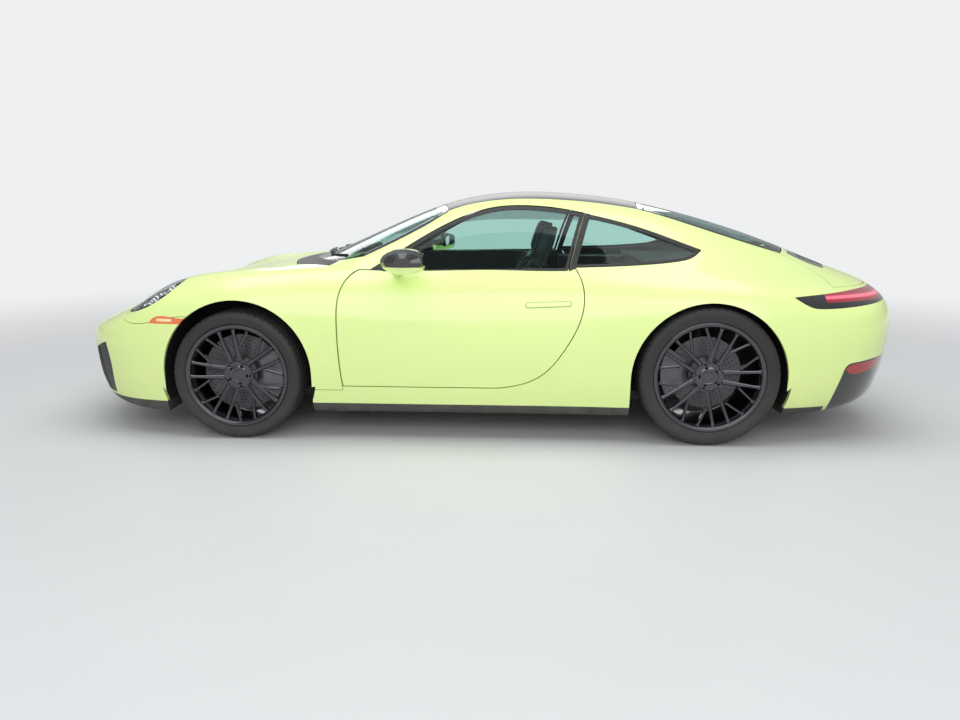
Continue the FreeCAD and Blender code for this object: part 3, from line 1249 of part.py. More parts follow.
def sector(wheel, inner_radius, outer_radius, inner, outer, towards_rear):
    """Part of a ring in front of or behind the hub, between two rays from its axis."""
    ring = wheel.ring([(inner_radius, inner), (outer_radius, inner), (outer_radius, outer),
                       (inner_radius, outer)])
    reach = 2 * wheel.radius if towards_rear else -2 * wheel.radius
    spread = abs(reach) * math.tan(math.radians(CALIPER_HALF_SPAN))
    hub = V(wheel.x, -wheel.y - outer - OVERRUN, wheel.radius)
    rays = [hub, hub + V(reach, 0, -spread), hub + V(reach, 0, spread)]
    wedge = Part.Face(Part.makePolygon(rays + rays[:1]))
    return ring.common(wedge.extrude(V(0, outer - inner + 2 * OVERRUN, 0)))


def caliper(wheel, towards_rear):
    body = sector(wheel, CALIPER_IN_RADIUS, CALIPER_OUT_RADIUS, CALIPER_INNER, CALIPER_OUTER,
                  towards_rear)
    slot = wheel.drum(wheel.disc + CALIPER_GAP, DISC_INNER - CALIPER_GAP,
                      DISC_INNER + DISC_THICKNESS + CALIPER_GAP)
    hat_room = wheel.drum(HAT_RADIUS + CALIPER_GAP, DISC_INNER, CALIPER_OUTER + CALIPER_GAP)
    return body.cut([slot, hat_room])


def upright(wheel, towards_rear):
    """Hub carrier with its spindle and the brake caliper it holds."""
    carrier = wheel.drum(UPRIGHT_RADIUS, UPRIGHT_INNER, UPRIGHT_OUTER)
    spindle = wheel.drum(SPINDLE_RADIUS, UPRIGHT_OUTER, wheel.pad_back - SPINDLE_END_GAP)
    sign = 1 if towards_rear else -1
    ends = sorted((wheel.x, wheel.x + sign * (CALIPER_IN_RADIUS + CALIPER_OUT_RADIUS) / 2))
    bracket = box(ends[0], ends[1], -wheel.y - CALIPER_INNER - BRACKET_THICKNESS,
                  -wheel.y - CALIPER_INNER, wheel.radius - BRACKET_HALF_HEIGHT,
                  wheel.radius + BRACKET_HALF_HEIGHT)
    return joined([carrier, spindle, bracket, caliper(wheel, towards_rear)])


def knuckle():
    """Front hub carrier with ears above and below on the steering axis."""
    leg = box(FRONT_X - LEG_HALF_WIDTH, FRONT_X + LEG_HALF_WIDTH, -KINGPIN_Y - LEG_HALF_WIDTH,
              LEG_HALF_WIDTH - KINGPIN_Y, LEG_FOOT_Z, LEG_TOP_Z)
    hole = rod_z(KINGPIN_RADIUS + RUNNING_FIT, 0, HEIGHT, FRONT_X, -KINGPIN_Y)
    middle = FRONT_TYRE_RADIUS
    keep = box(FRONT_X - LEG_HALF_WIDTH, FRONT_X + LEG_HALF_WIDTH, -KINGPIN_Y - LEG_HALF_WIDTH,
               LEG_HALF_WIDTH - KINGPIN_Y, middle - UPRIGHT_RADIUS, middle + UPRIGHT_RADIUS)
    whole = joined([upright(FRONT_WHEEL, True), leg])
    return whole.cut(hole.cut(keep))


def wishbone(z):
    """Two-legged arm from the inner well wall to the kingpin."""
    pin = V(FRONT_X, -KINGPIN_Y, z)
    wall = -FRONT_WELL_INNER_Y
    reach, half = ARM_REACH, ARM_EYE_RADIUS
    corners = [V(FRONT_X - reach, wall, z), V(FRONT_X - half, pin.y, z), V(FRONT_X + half, pin.y, z),
               V(FRONT_X + reach, wall, z), V(FRONT_X + reach - half * 2, wall, z),
               V(FRONT_X + half, (wall + pin.y) / 2, z), V(FRONT_X - half, (wall + pin.y) / 2, z),
               V(FRONT_X - reach + half * 2, wall, z)]
    plate = Part.Face(Part.makePolygon(corners + corners[:1])).extrude(V(0, 0, ARM_THICKNESS))
    eye = rod_z(half, z, z + ARM_THICKNESS, pin.x, pin.y)
    return joined([plate, eye])


def front_suspension():
    """Upper and lower arms with their pins, spring and damper."""
    low_z, high_z = LEG_FOOT_Z - STEER_CLEARANCE - ARM_THICKNESS, LEG_TOP_Z + STEER_CLEARANCE
    low_pin = rod_z(KINGPIN_RADIUS, low_z, LEG_FOOT_Z + PIN_BITE, FRONT_X, -KINGPIN_Y)
    high_pin = rod_z(KINGPIN_RADIUS, LEG_TOP_Z - PIN_BITE, high_z + ARM_THICKNESS, FRONT_X, -KINGPIN_Y)
    damper = rod_z(DAMPER_RADIUS, low_z, FRONT_ARCH_Z + FRONT_ARCH_RADIUS, FRONT_X, -DAMPER_Y)
    spring = rod_z(SPRING_RADIUS, SPRING_FOOT_Z, SPRING_TOP_Z, FRONT_X, -DAMPER_Y)
    foot = box(FRONT_X - DAMPER_RADIUS, FRONT_X + DAMPER_RADIUS, -DAMPER_Y - DAMPER_RADIUS * 2,
               DAMPER_RADIUS * 2 - DAMPER_Y, low_z, low_z + ARM_THICKNESS)
    return both_sides(joined([wishbone(low_z), wishbone(high_z), low_pin, high_pin, damper,
                              spring, foot]))


def rear_suspension():
    """Links, spring and damper with the fixed rear hub carriers."""
    wheel = REAR_WHEEL
    pieces = [upright(wheel, False)]
    start_y = -wheel.y - UPRIGHT_INNER
    inside = left_box(-LENGTH, LENGTH, REAR_WELL_INNER_Y, -HEIGHT, HEIGHT)
    for dx, dz in REAR_LINK_SHARES:
        near = V(wheel.x + dx * UPRIGHT_RADIUS, start_y - BRACKET_THICKNESS,
                 wheel.radius + dz * UPRIGHT_RADIUS)
        seat = V(wheel.x + dx * wheel.radius, -REAR_WELL_INNER_Y,
                 wheel.radius + dz * wheel.radius)
        past = seat + (seat - near).normalize() * 2 * LINK_RADIUS
        pieces.append(rod_between(near, past, LINK_RADIUS).cut(inside))
    top_z = REAR_ARCH_Z + REAR_ARCH_RADIUS
    pieces.append(rod_z(REAR_SPRING_RADIUS, REAR_SPRING_FOOT_Z, top_z, wheel.x, -REAR_SPRING_Y))
    pieces.append(box(wheel.x - UPRIGHT_RADIUS, wheel.x + UPRIGHT_RADIUS, start_y,
                      -REAR_WELL_INNER_Y, REAR_SPRING_FOOT_Z, REAR_SPRING_FOOT_Z + ARM_THICKNESS))
    return both_sides(joined(pieces))


# Cabin fittings
def rounded_box(x0, x1, y0, y1, z0, z1, radius):
    """Block with its four edges across the car rounded."""
    block = box(x0, x1, y0, y1, z0, z1)
    across = [edge for edge in block.Edges if abs(edge.tangentAt(edge.FirstParameter).y) > 0]
    return block.makeFillet(radius, across)


def leaning(shape, degrees, x, z):
    shape.rotate(V(x, 0, z), V(0, 1, 0), degrees)
    return shape


def front_seat(y):
    """Bucket seat: cushion between two bolsters, leaning back with its headrest."""
    half, edge = SEAT_HALF_WIDTH, SEAT_EDGE_RADIUS
    bolster = SEAT_BOLSTER_WIDTH
    parts = [box(SEAT_FRONT_X + bolster, SEAT_REAR_X - bolster, y - half + bolster,
                 y + half - bolster, CABIN_FLOOR_Z, SEAT_BASE_Z + edge),
             rounded_box(SEAT_FRONT_X, SEAT_REAR_X, y - half, y + half, SEAT_BASE_Z, SEAT_TOP_Z,
                         edge)]
    for sign in (-1, 1):
        middle = y + sign * (half - bolster / 2)
        parts.append(rounded_box(SEAT_FRONT_X + bolster, SEAT_REAR_X, middle - bolster / 2,
                                 middle + bolster / 2, SEAT_BASE_Z + edge,
                                 SEAT_TOP_Z + SEAT_BOLSTER_RISE, edge * 3 / 4))
    back = [rounded_box(SEAT_REAR_X - SEAT_BACK_THICKNESS, SEAT_REAR_X, y - half, y + half,
                        SEAT_BASE_Z + edge, SEAT_SHOULDER_Z, edge),
            rounded_box(SEAT_REAR_X - SEAT_BACK_THICKNESS, SEAT_REAR_X - edge / 2,
                        y - half * HEADREST_WIDTH_SHARE, y + half * HEADREST_WIDTH_SHARE,
                        SEAT_SHOULDER_Z - 2 * edge, SEAT_HEAD_Z, edge)]
    for sign in (-1, 1):
        middle = y + sign * (half - bolster / 2)
        back.append(rounded_box(SEAT_REAR_X - SEAT_BACK_THICKNESS - SEAT_BOLSTER_RISE,
                                SEAT_REAR_X - edge, middle - bolster / 2, middle + bolster / 2,
                                SEAT_TOP_Z, SEAT_SHOULDER_Z - edge * 2, edge * 3 / 4))
    parts += [leaning(piece, SEAT_LEAN, SEAT_REAR_X, SEAT_BASE_Z) for piece in back]
    return joined(parts)


def front_seats():
    return Part.makeCompound([front_seat(-SEAT_Y), front_seat(SEAT_Y)])


def rear_seats():
    pieces = []
    for sign in (-1, 1):
        y0, y1 = sorted((sign * REAR_SEAT_GAP, sign * REAR_SEAT_OUTER_Y))
        cushion = rounded_box(REAR_SEAT_FRONT_X, REAR_SEAT_BACK_X, y0, y1, REAR_FLOOR_Z,
                              REAR_SEAT_TOP_Z, SEAT_EDGE_RADIUS)
        back = rounded_box(REAR_SEAT_BACK_X - SEAT_BACK_THICKNESS, CABIN_REAR_X, y0, y1,
                           REAR_FLOOR_Z, REAR_BACK_TOP_Z, SEAT_EDGE_RADIUS)
        pieces.append(joined([cushion, back]))
    return Part.makeCompound(pieces)


def dashboard():
    """Dashboard with its hood over the dials, the centre console and the column."""
    half = DASH_HALF_WIDTH
    face = Part.Face(Part.makePolygon([
        V(CABIN_FRONT_X, -half, DASH_FOOT_Z), V(DASH_REAR_X - DASH_STEP, -half, DASH_FOOT_Z),
        V(DASH_REAR_X, -half, DASH_CHIN_Z), V(DASH_REAR_X - DASH_STEP / 2, -half, DASH_TOP_Z),
        V(CABIN_FRONT_X, -half, DASH_TOP_Z), V(CABIN_FRONT_X, -half, DASH_FOOT_Z)]))
    body = whole(face.extrude(V(0, half, 0)).common(skin(PILLAR_THICKNESS + LID_GAP)))
    hood = rounded_box(DASH_REAR_X - 2 * DASH_STEP, DASH_REAR_X, -SEAT_Y - DASH_HOOD_HALF,
                       DASH_HOOD_HALF - SEAT_Y, DASH_CHIN_Z, DASH_TOP_Z + DASH_HOOD_RISE,
                       SEAT_EDGE_RADIUS)
    console = box(CABIN_FRONT_X, CONSOLE_REAR_X, -CONSOLE_HALF_WIDTH, CONSOLE_HALF_WIDTH,
                  CABIN_FLOOR_Z, CONSOLE_TOP_Z)
    axis = column_axis()
    start = column_centre() - axis * COLUMN_LENGTH
    stub = rod_between(start, column_centre() - axis * COLUMN_CLEARANCE, COLUMN_RADIUS)
    shaft = rod_between(start, column_centre(), COLUMN_PIN_RADIUS)
    return joined([body, hood, console, stub, shaft])


def column_axis():
    tilt = math.radians(COLUMN_TILT)
    return V(math.cos(tilt), 0, math.sin(tilt))


def column_centre():
    return V(WHEEL_CENTRE_X, -SEAT_Y, WHEEL_CENTRE_Z)


def steering_wheel():
    """Ring on three spokes round a plain hub, bored for the column."""
    axis, centre = column_axis(), column_centre()
    across = V(0, 1, 0)
    up = axis.cross(across)
    corners = []
    for index in range(STEERING_RING_SIDES):
        angle = 2 * math.pi * (index + 1 / 2) / STEERING_RING_SIDES
        corners.append(centre + across * (STEERING_RING_RADIUS
                                          + STEERING_RING_THICKNESS * math.cos(angle))
                       + axis * STEERING_RING_THICKNESS * math.sin(angle))
    section = Part.Face(Part.makePolygon(corners + corners[:1]))
    ring = section.revolve(centre, axis, FULL_TURN)
    hub = rod_between(centre - axis * COLUMN_CLEARANCE / 2, centre + axis * COLUMN_CLEARANCE,
                      STEERING_HUB_RADIUS)
    half_width, half_depth = STEERING_ARM_WIDTH / 2, STEERING_RING_THICKNESS / 2
    arms = []
    for way in (across, across * -1, up):
        side = axis.cross(way)
        foot = [centre - side * half_width - axis * half_depth,
                centre + side * half_width - axis * half_depth,
                centre + side * half_width + axis * half_depth,
                centre - side * half_width + axis * half_depth]
        face = Part.Face(Part.makePolygon(foot + foot[:1]))
        arms.append(face.extrude(way * STEERING_RING_RADIUS))
    bore = rod_between(centre - axis * COLUMN_LENGTH, centre + axis * COLUMN_BORE_DEPTH,
                       COLUMN_PIN_RADIUS + RUNNING_FIT)
    return joined([ring, hub] + arms).cut(bore)


def engine():
    return box(ENGINE_FRONT_X, ENGINE_REAR_X, -ENGINE_HALF_WIDTH, ENGINE_HALF_WIDTH,
               BAY_FLOOR_Z, BAY_FLOOR_Z + ENGINE_HEIGHT)


def save(node, shape):
    shape.exportStep(os.path.join("parts", node + ".step"))


CENTRE_PIECES = {
    "body_shell": body_shell,
    "front_structure": front_structure,
    "floor_pan": floor_pan,
    "rear_structure": rear_structure,
    "front_fenders": lambda: both_sides(front_fender()),
    "front_bumper": front_bumper,
    "front_trim": front_trim,
    "rear_bumper": rear_bumper,
    "rear_diffuser": rear_diffuser,
    "underbody": underbody,
    "cowl": cowl,
    "roof_panel": roof_panel,
    "windscreen": windscreen,
    "rear_window": rear_window,
    "quarter_windows": lambda: both_sides(side_glass(QUARTER_SHARES)),
    "headlamps": lambda: both_sides(headlamp()),
    "tail_lamps": tail_lamps,
    "side_markers": lambda: both_sides(marker()),
    "rear_reflectors": lambda: both_sides(reflector()),
    "front_lid": front_lid,
    "rear_lid": rear_lid,
    "rear_grille": rear_grille,
    "exhaust": lambda: both_sides(exhaust_tip()),
    "engine": engine,
    "front_seats": front_seats,
    "rear_seats": rear_seats,
    "dashboard": dashboard,
    "steering_wheel": steering_wheel,
    "front_suspension": front_suspension,
    "rear_suspension": rear_suspension,
}

LEFT_PIECES = {
    "door": door,
    "door_glass": lambda: side_glass(DOOR_GLASS_SHARES),
    "mirror": mirror_housing,
    "mirror_glass": mirror_glass,
    "knuckle": knuckle,
    "tyre_front": lambda: tyre(FRONT_WHEEL),
    "tyre_rear": lambda: tyre(REAR_WHEEL),
    "rim_front": lambda: rim(FRONT_WHEEL),
    "rim_rear": lambda: rim(REAR_WHEEL),
    "brake_disc_front": lambda: brake_disc(FRONT_WHEEL),
    "brake_disc_rear": lambda: brake_disc(REAR_WHEEL),
}


def build():
    os.makedirs("parts", exist_ok=True)
    for name, make in CENTRE_PIECES.items():
        save(name, make())
    for name, make in LEFT_PIECES.items():
        shape = make()
        save(name + "_left", shape)
        save(name + "_right", mirrored(shape))


build()
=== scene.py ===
# Coupe car in pale lime paint with a black roof, seen from its left side in a plain studio.
import bmesh
import bpy
import math
import numpy as np
from mathutils import Matrix, Vector


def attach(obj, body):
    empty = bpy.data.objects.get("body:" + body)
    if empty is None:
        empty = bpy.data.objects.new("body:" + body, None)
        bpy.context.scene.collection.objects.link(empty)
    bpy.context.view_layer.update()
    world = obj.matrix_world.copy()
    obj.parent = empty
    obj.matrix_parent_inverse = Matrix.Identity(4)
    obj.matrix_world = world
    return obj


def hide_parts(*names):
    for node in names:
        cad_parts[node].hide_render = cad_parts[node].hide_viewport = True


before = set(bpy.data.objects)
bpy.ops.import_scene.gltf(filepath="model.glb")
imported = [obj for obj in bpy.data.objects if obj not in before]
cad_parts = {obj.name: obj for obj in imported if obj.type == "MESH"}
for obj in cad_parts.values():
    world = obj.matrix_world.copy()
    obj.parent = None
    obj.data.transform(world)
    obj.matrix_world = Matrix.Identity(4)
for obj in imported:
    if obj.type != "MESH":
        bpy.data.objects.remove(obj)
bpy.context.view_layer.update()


# Studio: a pale floor that runs out into a white room, large soft lamps overhead, along the
# left side and, weaker, along the right, and a camera five metres from the car.
STUDIO_WHITE = (0.86, 0.87, 0.88, 1.0)
ROOM_TONE, ROOM_STRENGTH = (0.9, 0.92, 0.95, 1.0), 0.45
FLOOR_COLOUR, FLOOR_SHADE = (0.66, 0.67, 0.68, 1.0), (0.6402, 0.6499, 0.6596, 1.0)
FLOOR_RADIUS, FLOOR_RINGS, FLOOR_SIDES = 40.0, 24, 96
FLOOR_FADE_START, FLOOR_FADE_END = 2.6, 8.0
LAMPS = (("roof_lamp", (0.0, -0.6, 5.5), (0.0, 0.0, 0.0), (7.0, 4.0), 230.0),
         ("left_lamp", (0.5, -7.0, 3.2), (0.0, 0.0, 0.6), (8.0, 3.5), 235.0),
         ("right_lamp", (-0.5, 7.0, 3.8), (0.0, 0.0, 0.6), (7.0, 2.5), 150.0))
CAMERA_PLACE = (0.2204, -5.0071, 1.2784)
CAMERA_YAW, CAMERA_PITCH, CAMERA_ROLL = -0.0506, 0.2012, math.radians(0.07)
FOCAL_PIXELS, PHOTO_WIDTH, SENSOR_WIDTH = 815.6, 960.0, 36.0


def new_material(name):
    """A material with one Principled shader; returns it, its node tree and that shader."""
    material = bpy.data.materials.new(name)
    material.use_nodes = True
    return material, material.node_tree, material.node_tree.nodes["Principled BSDF"]


def put(tree, node, values):
    """Gives inputs of a node, by name or number, a value each or another node's output."""
    for place, value in values.items():
        if isinstance(value, bpy.types.NodeSocket):
            tree.links.new(value, node.inputs[place])
        else:
            node.inputs[place].default_value = value


def add_node(tree, kind, values=None, **settings):
    """A shader node of a kind with its settings, and what goes into its inputs."""
    node = tree.nodes.new("ShaderNode" + kind)
    for name, setting in settings.items():
        setattr(node, name, setting)
    put(tree, node, values or {})
    return node


def own_place(tree):
    """The piece's own coordinates, which are its places on the car in metres."""
    return add_node(tree, "TexCoord").outputs["Object"]


def mixed(tree, factor, first, second):
    """Colour between two others; each is a value or another node's output."""
    return add_node(tree, "MixRGB", {0: factor, 1: first, 2: second}).outputs[0]


def make_object(name, parts, materials, crease=None):
    """One mesh from parts, each an array of points, an array of faces and a finish number.

    Points that coincide are merged, which closes poles and seams, and every closed shell is
    turned outwards. Edges sharper than the crease angle stay sharp; others are smooth.
    """
    start, points, faces, numbers = 0, [], [], []
    for part_points, part_faces, number in parts:
        flat = np.asarray(part_points, float).reshape(-1, 3)
        points.append(flat)
        faces += (np.asarray(part_faces) + start).tolist()
        numbers += [number] * len(part_faces)
        start += len(flat)
    mesh = bpy.data.meshes.new(name)
    mesh.from_pydata(np.vstack(points).tolist(), [], faces)
    mesh.polygons.foreach_set("material_index", np.array(numbers, np.int32))
    mesh.polygons.foreach_set("use_smooth", np.full(len(mesh.polygons), True))
    edit = bmesh.new()
    edit.from_mesh(mesh)
    bmesh.ops.remove_doubles(edit, verts=edit.verts, dist=1e-6)
    bmesh.ops.recalc_face_normals(edit, faces=edit.faces)
    edit.to_mesh(mesh)
    edit.free()
    for material in materials:
        mesh.materials.append(material)
    if crease is not None:
        mesh.set_sharp_from_angle(angle=math.radians(crease))
    made = bpy.data.objects.new(name, mesh)
    bpy.context.scene.collection.objects.link(made)
    return made


def grid_faces(rows, columns, wrap_rows=False, wrap_columns=False):
    """Four-cornered faces between neighbours of a grid numbered row by row."""
    index = np.arange(rows * columns).reshape(rows, columns)
    if wrap_rows:
        index = np.vstack([index, index[:1]])
    if wrap_columns:
        index = np.hstack([index, index[:, :1]])
    corners = (index[:-1, :-1], index[:-1, 1:], index[1:, 1:], index[1:, :-1])
    return np.stack([corner.ravel() for corner in corners], axis=1)


def full_turn(count):
    """Even angles of one full turn, in a row."""
    return np.linspace(0.0, 2 * np.pi, count, endpoint=False)[None, :]


def build_floor():
    """Disc of floor: radius r and angle a give the point (r cos a, r sin a, 0)."""
    radii = np.linspace(0.0, 1.0, FLOOR_RINGS)[:, None] ** 2 * FLOOR_RADIUS
    angles = full_turn(FLOOR_SIDES)
    points = np.stack([radii * np.cos(angles), radii * np.sin(angles), 0 * radii * angles], axis=-1)
    material, tree, shader = new_material("studio_floor")
    place = own_place(tree)
    noise = add_node(tree, "TexNoise", {"Vector": place, "Scale": 3.0})
    put(tree, shader, {"Base Color": mixed(tree, noise.outputs["Fac"], FLOOR_COLOUR, FLOOR_SHADE),
                       "Roughness": 0.55, "Specular IOR Level": 0.3})
    distance = add_node(tree, "VectorMath", {0: place}, operation="LENGTH")
    fade = add_node(tree, "MapRange", {"Value": distance.outputs["Value"],
                                       "From Min": FLOOR_FADE_START, "From Max": FLOOR_FADE_END},
                    interpolation_type="SMOOTHSTEP")
    glow = add_node(tree, "Emission", {"Color": STUDIO_WHITE})
    mix = add_node(tree, "MixShader", {"Fac": fade.outputs["Result"], 1: shader.outputs["BSDF"],
                                       2: glow.outputs["Emission"]})
    put(tree, tree.nodes["Material Output"], {"Surface": mix.outputs["Shader"]})
    faces = grid_faces(FLOOR_RINGS, FLOOR_SIDES, wrap_columns=True)
    make_object("studio_floor", [(points, faces, 0)], [material])


def build_room():
    """Light from all round, and a paler room behind for what the camera sees directly."""
    world = bpy.data.worlds.new("studio")
    bpy.context.scene.world = world
    world.use_nodes = True
    tree = world.node_tree
    room = tree.nodes["Background"]
    put(tree, room, {"Color": ROOM_TONE, "Strength": ROOM_STRENGTH})
    seen = add_node(tree, "Background", {"Color": STUDIO_WHITE})
    path = add_node(tree, "LightPath")
    choose = add_node(tree, "MixShader", {"Fac": path.outputs["Is Camera Ray"],
                                          1: room.outputs["Background"],
                                          2: seen.outputs["Background"]})
    put(tree, tree.nodes["World Output"], {"Surface": choose.outputs["Shader"]})


def add_lamp(name, place, target, size, power):
    lamp = bpy.data.lights.new(name, "AREA")
    lamp.shape = "RECTANGLE"
    (lamp.size, lamp.size_y), lamp.energy = size, power
    made = bpy.data.objects.new(name, lamp)
    made.location = place
    made.rotation_euler = (Vector(target) - Vector(place)).to_track_quat("-Z", "Y").to_euler()
    bpy.context.scene.collection.objects.link(made)


def add_camera():
    camera = bpy.data.cameras.new("camera")
    camera.sensor_width = SENSOR_WIDTH
    camera.sensor_fit = "HORIZONTAL"
    camera.lens = FOCAL_PIXELS / PHOTO_WIDTH * SENSOR_WIDTH
    made = bpy.data.objects.new("camera", camera)
    forward = Vector((math.sin(CAMERA_YAW) * math.cos(CAMERA_PITCH),
                      math.cos(CAMERA_YAW) * math.cos(CAMERA_PITCH), -math.sin(CAMERA_PITCH)))
    turn = forward.to_track_quat("-Z", "Y").to_matrix().to_4x4()
    made.matrix_world = (Matrix.Translation(CAMERA_PLACE) @ turn
                         @ Matrix.Rotation(CAMERA_ROLL, 4, "Z"))
    bpy.context.scene.collection.objects.link(made)
    bpy.context.scene.camera = made


build_floor()
build_room()
for lamp in LAMPS:
    add_lamp(*lamp)
add_camera()
bpy.context.scene.view_settings.view_transform = "Standard"


# Painted steel and aluminium body panels: pressed, welded or bolted, then sprayed with a
# flat pale lime coat under clear lacquer; a little dust lies low on the sides.
PAINT_COLOUR, PAINT_SHADE = (0.78, 0.94, 0.36, 1.0), (0.74, 0.905, 0.32, 1.0)
DUST_COLOUR, DUST_FOOT, DUST_TOP = (0.45, 0.46, 0.36, 1.0), 0.1, 0.42
CLOUD_SCALE, DUST_SCALE, GRAIN_HEIGHT = 2.3, 14.0, 0.0004
FAR = 9.0
SHELL_PANELS = ("body_shell", "front_structure", "floor_pan", "rear_structure")
AXLES, ARCH_REACH, WELL_INNER, ARCH_LIP = ((-1.2665, 0.346), (1.1835, 0.344)), 0.45, 0.44, 0.56
CABIN_MIDDLE, CABIN_SHORTER, ROOF_AXIS_Z = (0.05, 0.0, 0.8), 0.35, 0.80
CABIN = ((-0.84, 1.68), (-1.0, 0.745), (0.19, FAR))
GLASSHOUSE = ((-0.70, 1.70), (-1.0, FAR), (0.868, FAR))
UNDER_REAR_GLASS = ((0.60, 1.66), (-1.0, 0.66), (0.3, 0.91))
HAUNCH = ((1.20, FAR), (0.46, FAR), (0.7, FAR))
ENGINE_BAY = ((1.28, 2.07), (-1.0, 0.48), (-FAR, 0.86))
LUGGAGE_TUB = ((-1.97, -1.1), (-1.0, 0.38), (-FAR, FAR))
TUB_REAR_X, WAIST_Z, DOOR_INNER = -1.1, 0.868, 0.7355
ARCH_FACING, LINING_FACING, SKIN_FACING, WALL_FACING, SHUT_LINE_SHADE_FACING = 0.5, 0.3, 0.6, 0.9, 0.5


def maths(tree, operation, *values):
    return add_node(tree, "Math", dict(enumerate(values)), operation=operation).outputs[0]


def new_group(name, inputs, output, kind):
    """A node group that takes a position and named numbers, and gives out one result."""
    group = bpy.data.node_groups.new(name, "ShaderNodeTree")
    group.interface.new_socket(name="Position", socket_type="NodeSocketVector", in_out="INPUT")
    for title, value in inputs.items():
        made = group.interface.new_socket(name=title, socket_type="NodeSocketFloat", in_out="INPUT")
        made.default_value = value
    group.interface.new_socket(name=output, socket_type=kind, in_out="OUTPUT")
    return group, group.nodes.new("NodeGroupInput").outputs, group.nodes.new("NodeGroupOutput")


def dust_group():
    """Mask of dust: thickest near the ground and gone above the top height, broken by noise."""
    group, given, end = new_group("low_dust", {"Top": DUST_TOP, "Amount": 0.3}, "Mask",
                                  "NodeSocketFloat")
    height = add_node(group, "SeparateXYZ", {0: given["Position"]}).outputs["Z"]
    ramp = add_node(group, "MapRange", {"Value": height, "From Min": DUST_FOOT,
                                        "From Max": given["Top"], "To Min": 1.0, "To Max": 0.0})
    noise = add_node(group, "TexNoise", {"Vector": given["Position"], "Scale": DUST_SCALE,
                                         "Detail": 6.0})
    broken = maths(group, "MULTIPLY", ramp.outputs["Result"], noise.outputs["Fac"])
    put(group, end, {"Mask": maths(group, "MULTIPLY", broken, given["Amount"])})
    return group


def grain_group():
    """Normal of a fine even noise at the given scale and strength."""
    group, given, end = new_group("fine_grain", {"Scale": 600.0, "Strength": 0.2}, "Normal",
                                  "NodeSocketVector")
    noise = add_node(group, "TexNoise", {"Vector": given["Position"], "Scale": given["Scale"],
                                         "Detail": 3.0})
    bump = add_node(group, "Bump", {"Height": noise.outputs["Fac"], "Strength": given["Strength"],
                                    "Distance": GRAIN_HEIGHT})
    put(group, end, {"Normal": bump.outputs["Normal"]})
    return group


LOW_DUST, FINE_GRAIN = dust_group(), grain_group()


def grained(name, colour, shade, roughness, scale, strength, dust=0.0, metallic=0.0, coat=0.0,
            coat_roughness=0.05, specular=0.5):
    """Finish whose colour wanders between two tones with a fine grain, and dust low down."""
    material, tree, shader = new_material(name)
    place = own_place(tree)
    cloud = add_node(tree, "TexNoise", {"Vector": place, "Scale": CLOUD_SCALE, "Detail": 4.0})
    dusty = add_node(tree, "Group", {"Position": place, "Amount": dust}, node_tree=LOW_DUST)
    grain = add_node(tree, "Group", {"Position": place, "Scale": scale, "Strength": strength},
                     node_tree=FINE_GRAIN)
    tone = mixed(tree, cloud.outputs["Fac"], colour, shade)
    put(tree, shader, {"Base Color": mixed(tree, dusty.outputs["Mask"], tone, DUST_COLOUR),
                       "Normal": grain.outputs["Normal"], "Roughness": roughness,
                       "Metallic": metallic, "Coat Weight": coat,
                       "Coat Roughness": coat_roughness, "Specular IOR Level": specular})
    return material


def mesh_array(collection, name):
    """Places or directions of a mesh's points or faces, as rows of x, y and z."""
    values = np.zeros(len(collection) * 3)
    collection.foreach_get(name, values)
    return values.reshape(-1, 3)


def zones(name, choose):
    """Gives each face of a CAD node one of several finishes, by its middle and direction."""
    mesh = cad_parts[name].data
    finishes, numbers = choose(mesh_array(mesh.polygons, "center"),
                               mesh_array(mesh.polygons, "normal"))
    mesh.materials.clear()
    for material in finishes:
        mesh.materials.append(material)
    mesh.polygons.foreach_set("material_index", numbers.astype(np.int32))


def finish(names, material):
    for name in names:
        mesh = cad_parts[name].data
        mesh.materials.clear()
        mesh.materials.append(material)


def within(middle, space):
    """Whether a place lies in a space given by its reach in x, in |y| and in z."""
    x_reach, side_reach, z_reach = space
    inside = np.full(len(middle), True)
    for value, (low, high) in ((middle[:, 0], x_reach), (np.abs(middle[:, 1]), side_reach),
                               (middle[:, 2], z_reach)):
        inside &= (value > low) & (value < high)
    return inside


def shell_zones(middle, normal):
    """Paint outside, black liners round the wheels and a black cabin and engine bay.

    In the cabin a face is black where it looks towards the cabin's middle; above the waist,
    where it doesn't look away from the line along the roof's middle."""
    x, y, z = middle.T
    side, inward = np.abs(y), -(normal[:, 1] * np.sign(y))
    number = np.zeros(len(middle), int)
    for axle_x, axle_z in AXLES:
        reach = np.hypot(x - axle_x, z - axle_z)
        facing = normal[:, 0] * (axle_x - x) + normal[:, 2] * (axle_z - z)
        liner = (facing / np.maximum(reach, 0.01) > ARCH_FACING) | (side < ARCH_LIP)
        number[(reach < ARCH_REACH) & (side > WELL_INNER) & liner] = 2
    to_middle = (np.array(CABIN_MIDDLE) - middle) * (CABIN_SHORTER, 1.0, 1.0)
    number[within(middle, CABIN) & ((normal * to_middle).sum(1) > 0)] = 1
    outward = np.stack([0 * x, y, z - ROOF_AXIS_Z], axis=1)
    outward /= np.maximum(np.linalg.norm(outward, axis=1, keepdims=True), 0.01)
    number[within(middle, GLASSHOUSE) & ((normal * outward).sum(1) < LINING_FACING)] = 1
    outer_skin = within(middle, HAUNCH) & (inward < SKIN_FACING)
    number[within(middle, UNDER_REAR_GLASS) & ~outer_skin] = 1
    number[within(middle, ENGINE_BAY) | within(middle, LUGGAGE_TUB)] = 2
    number[(x < TUB_REAR_X) & (inward > WALL_FACING)] = 2
    return [LIME_PAINT, CABIN_BLACK, LINER_BLACK], number


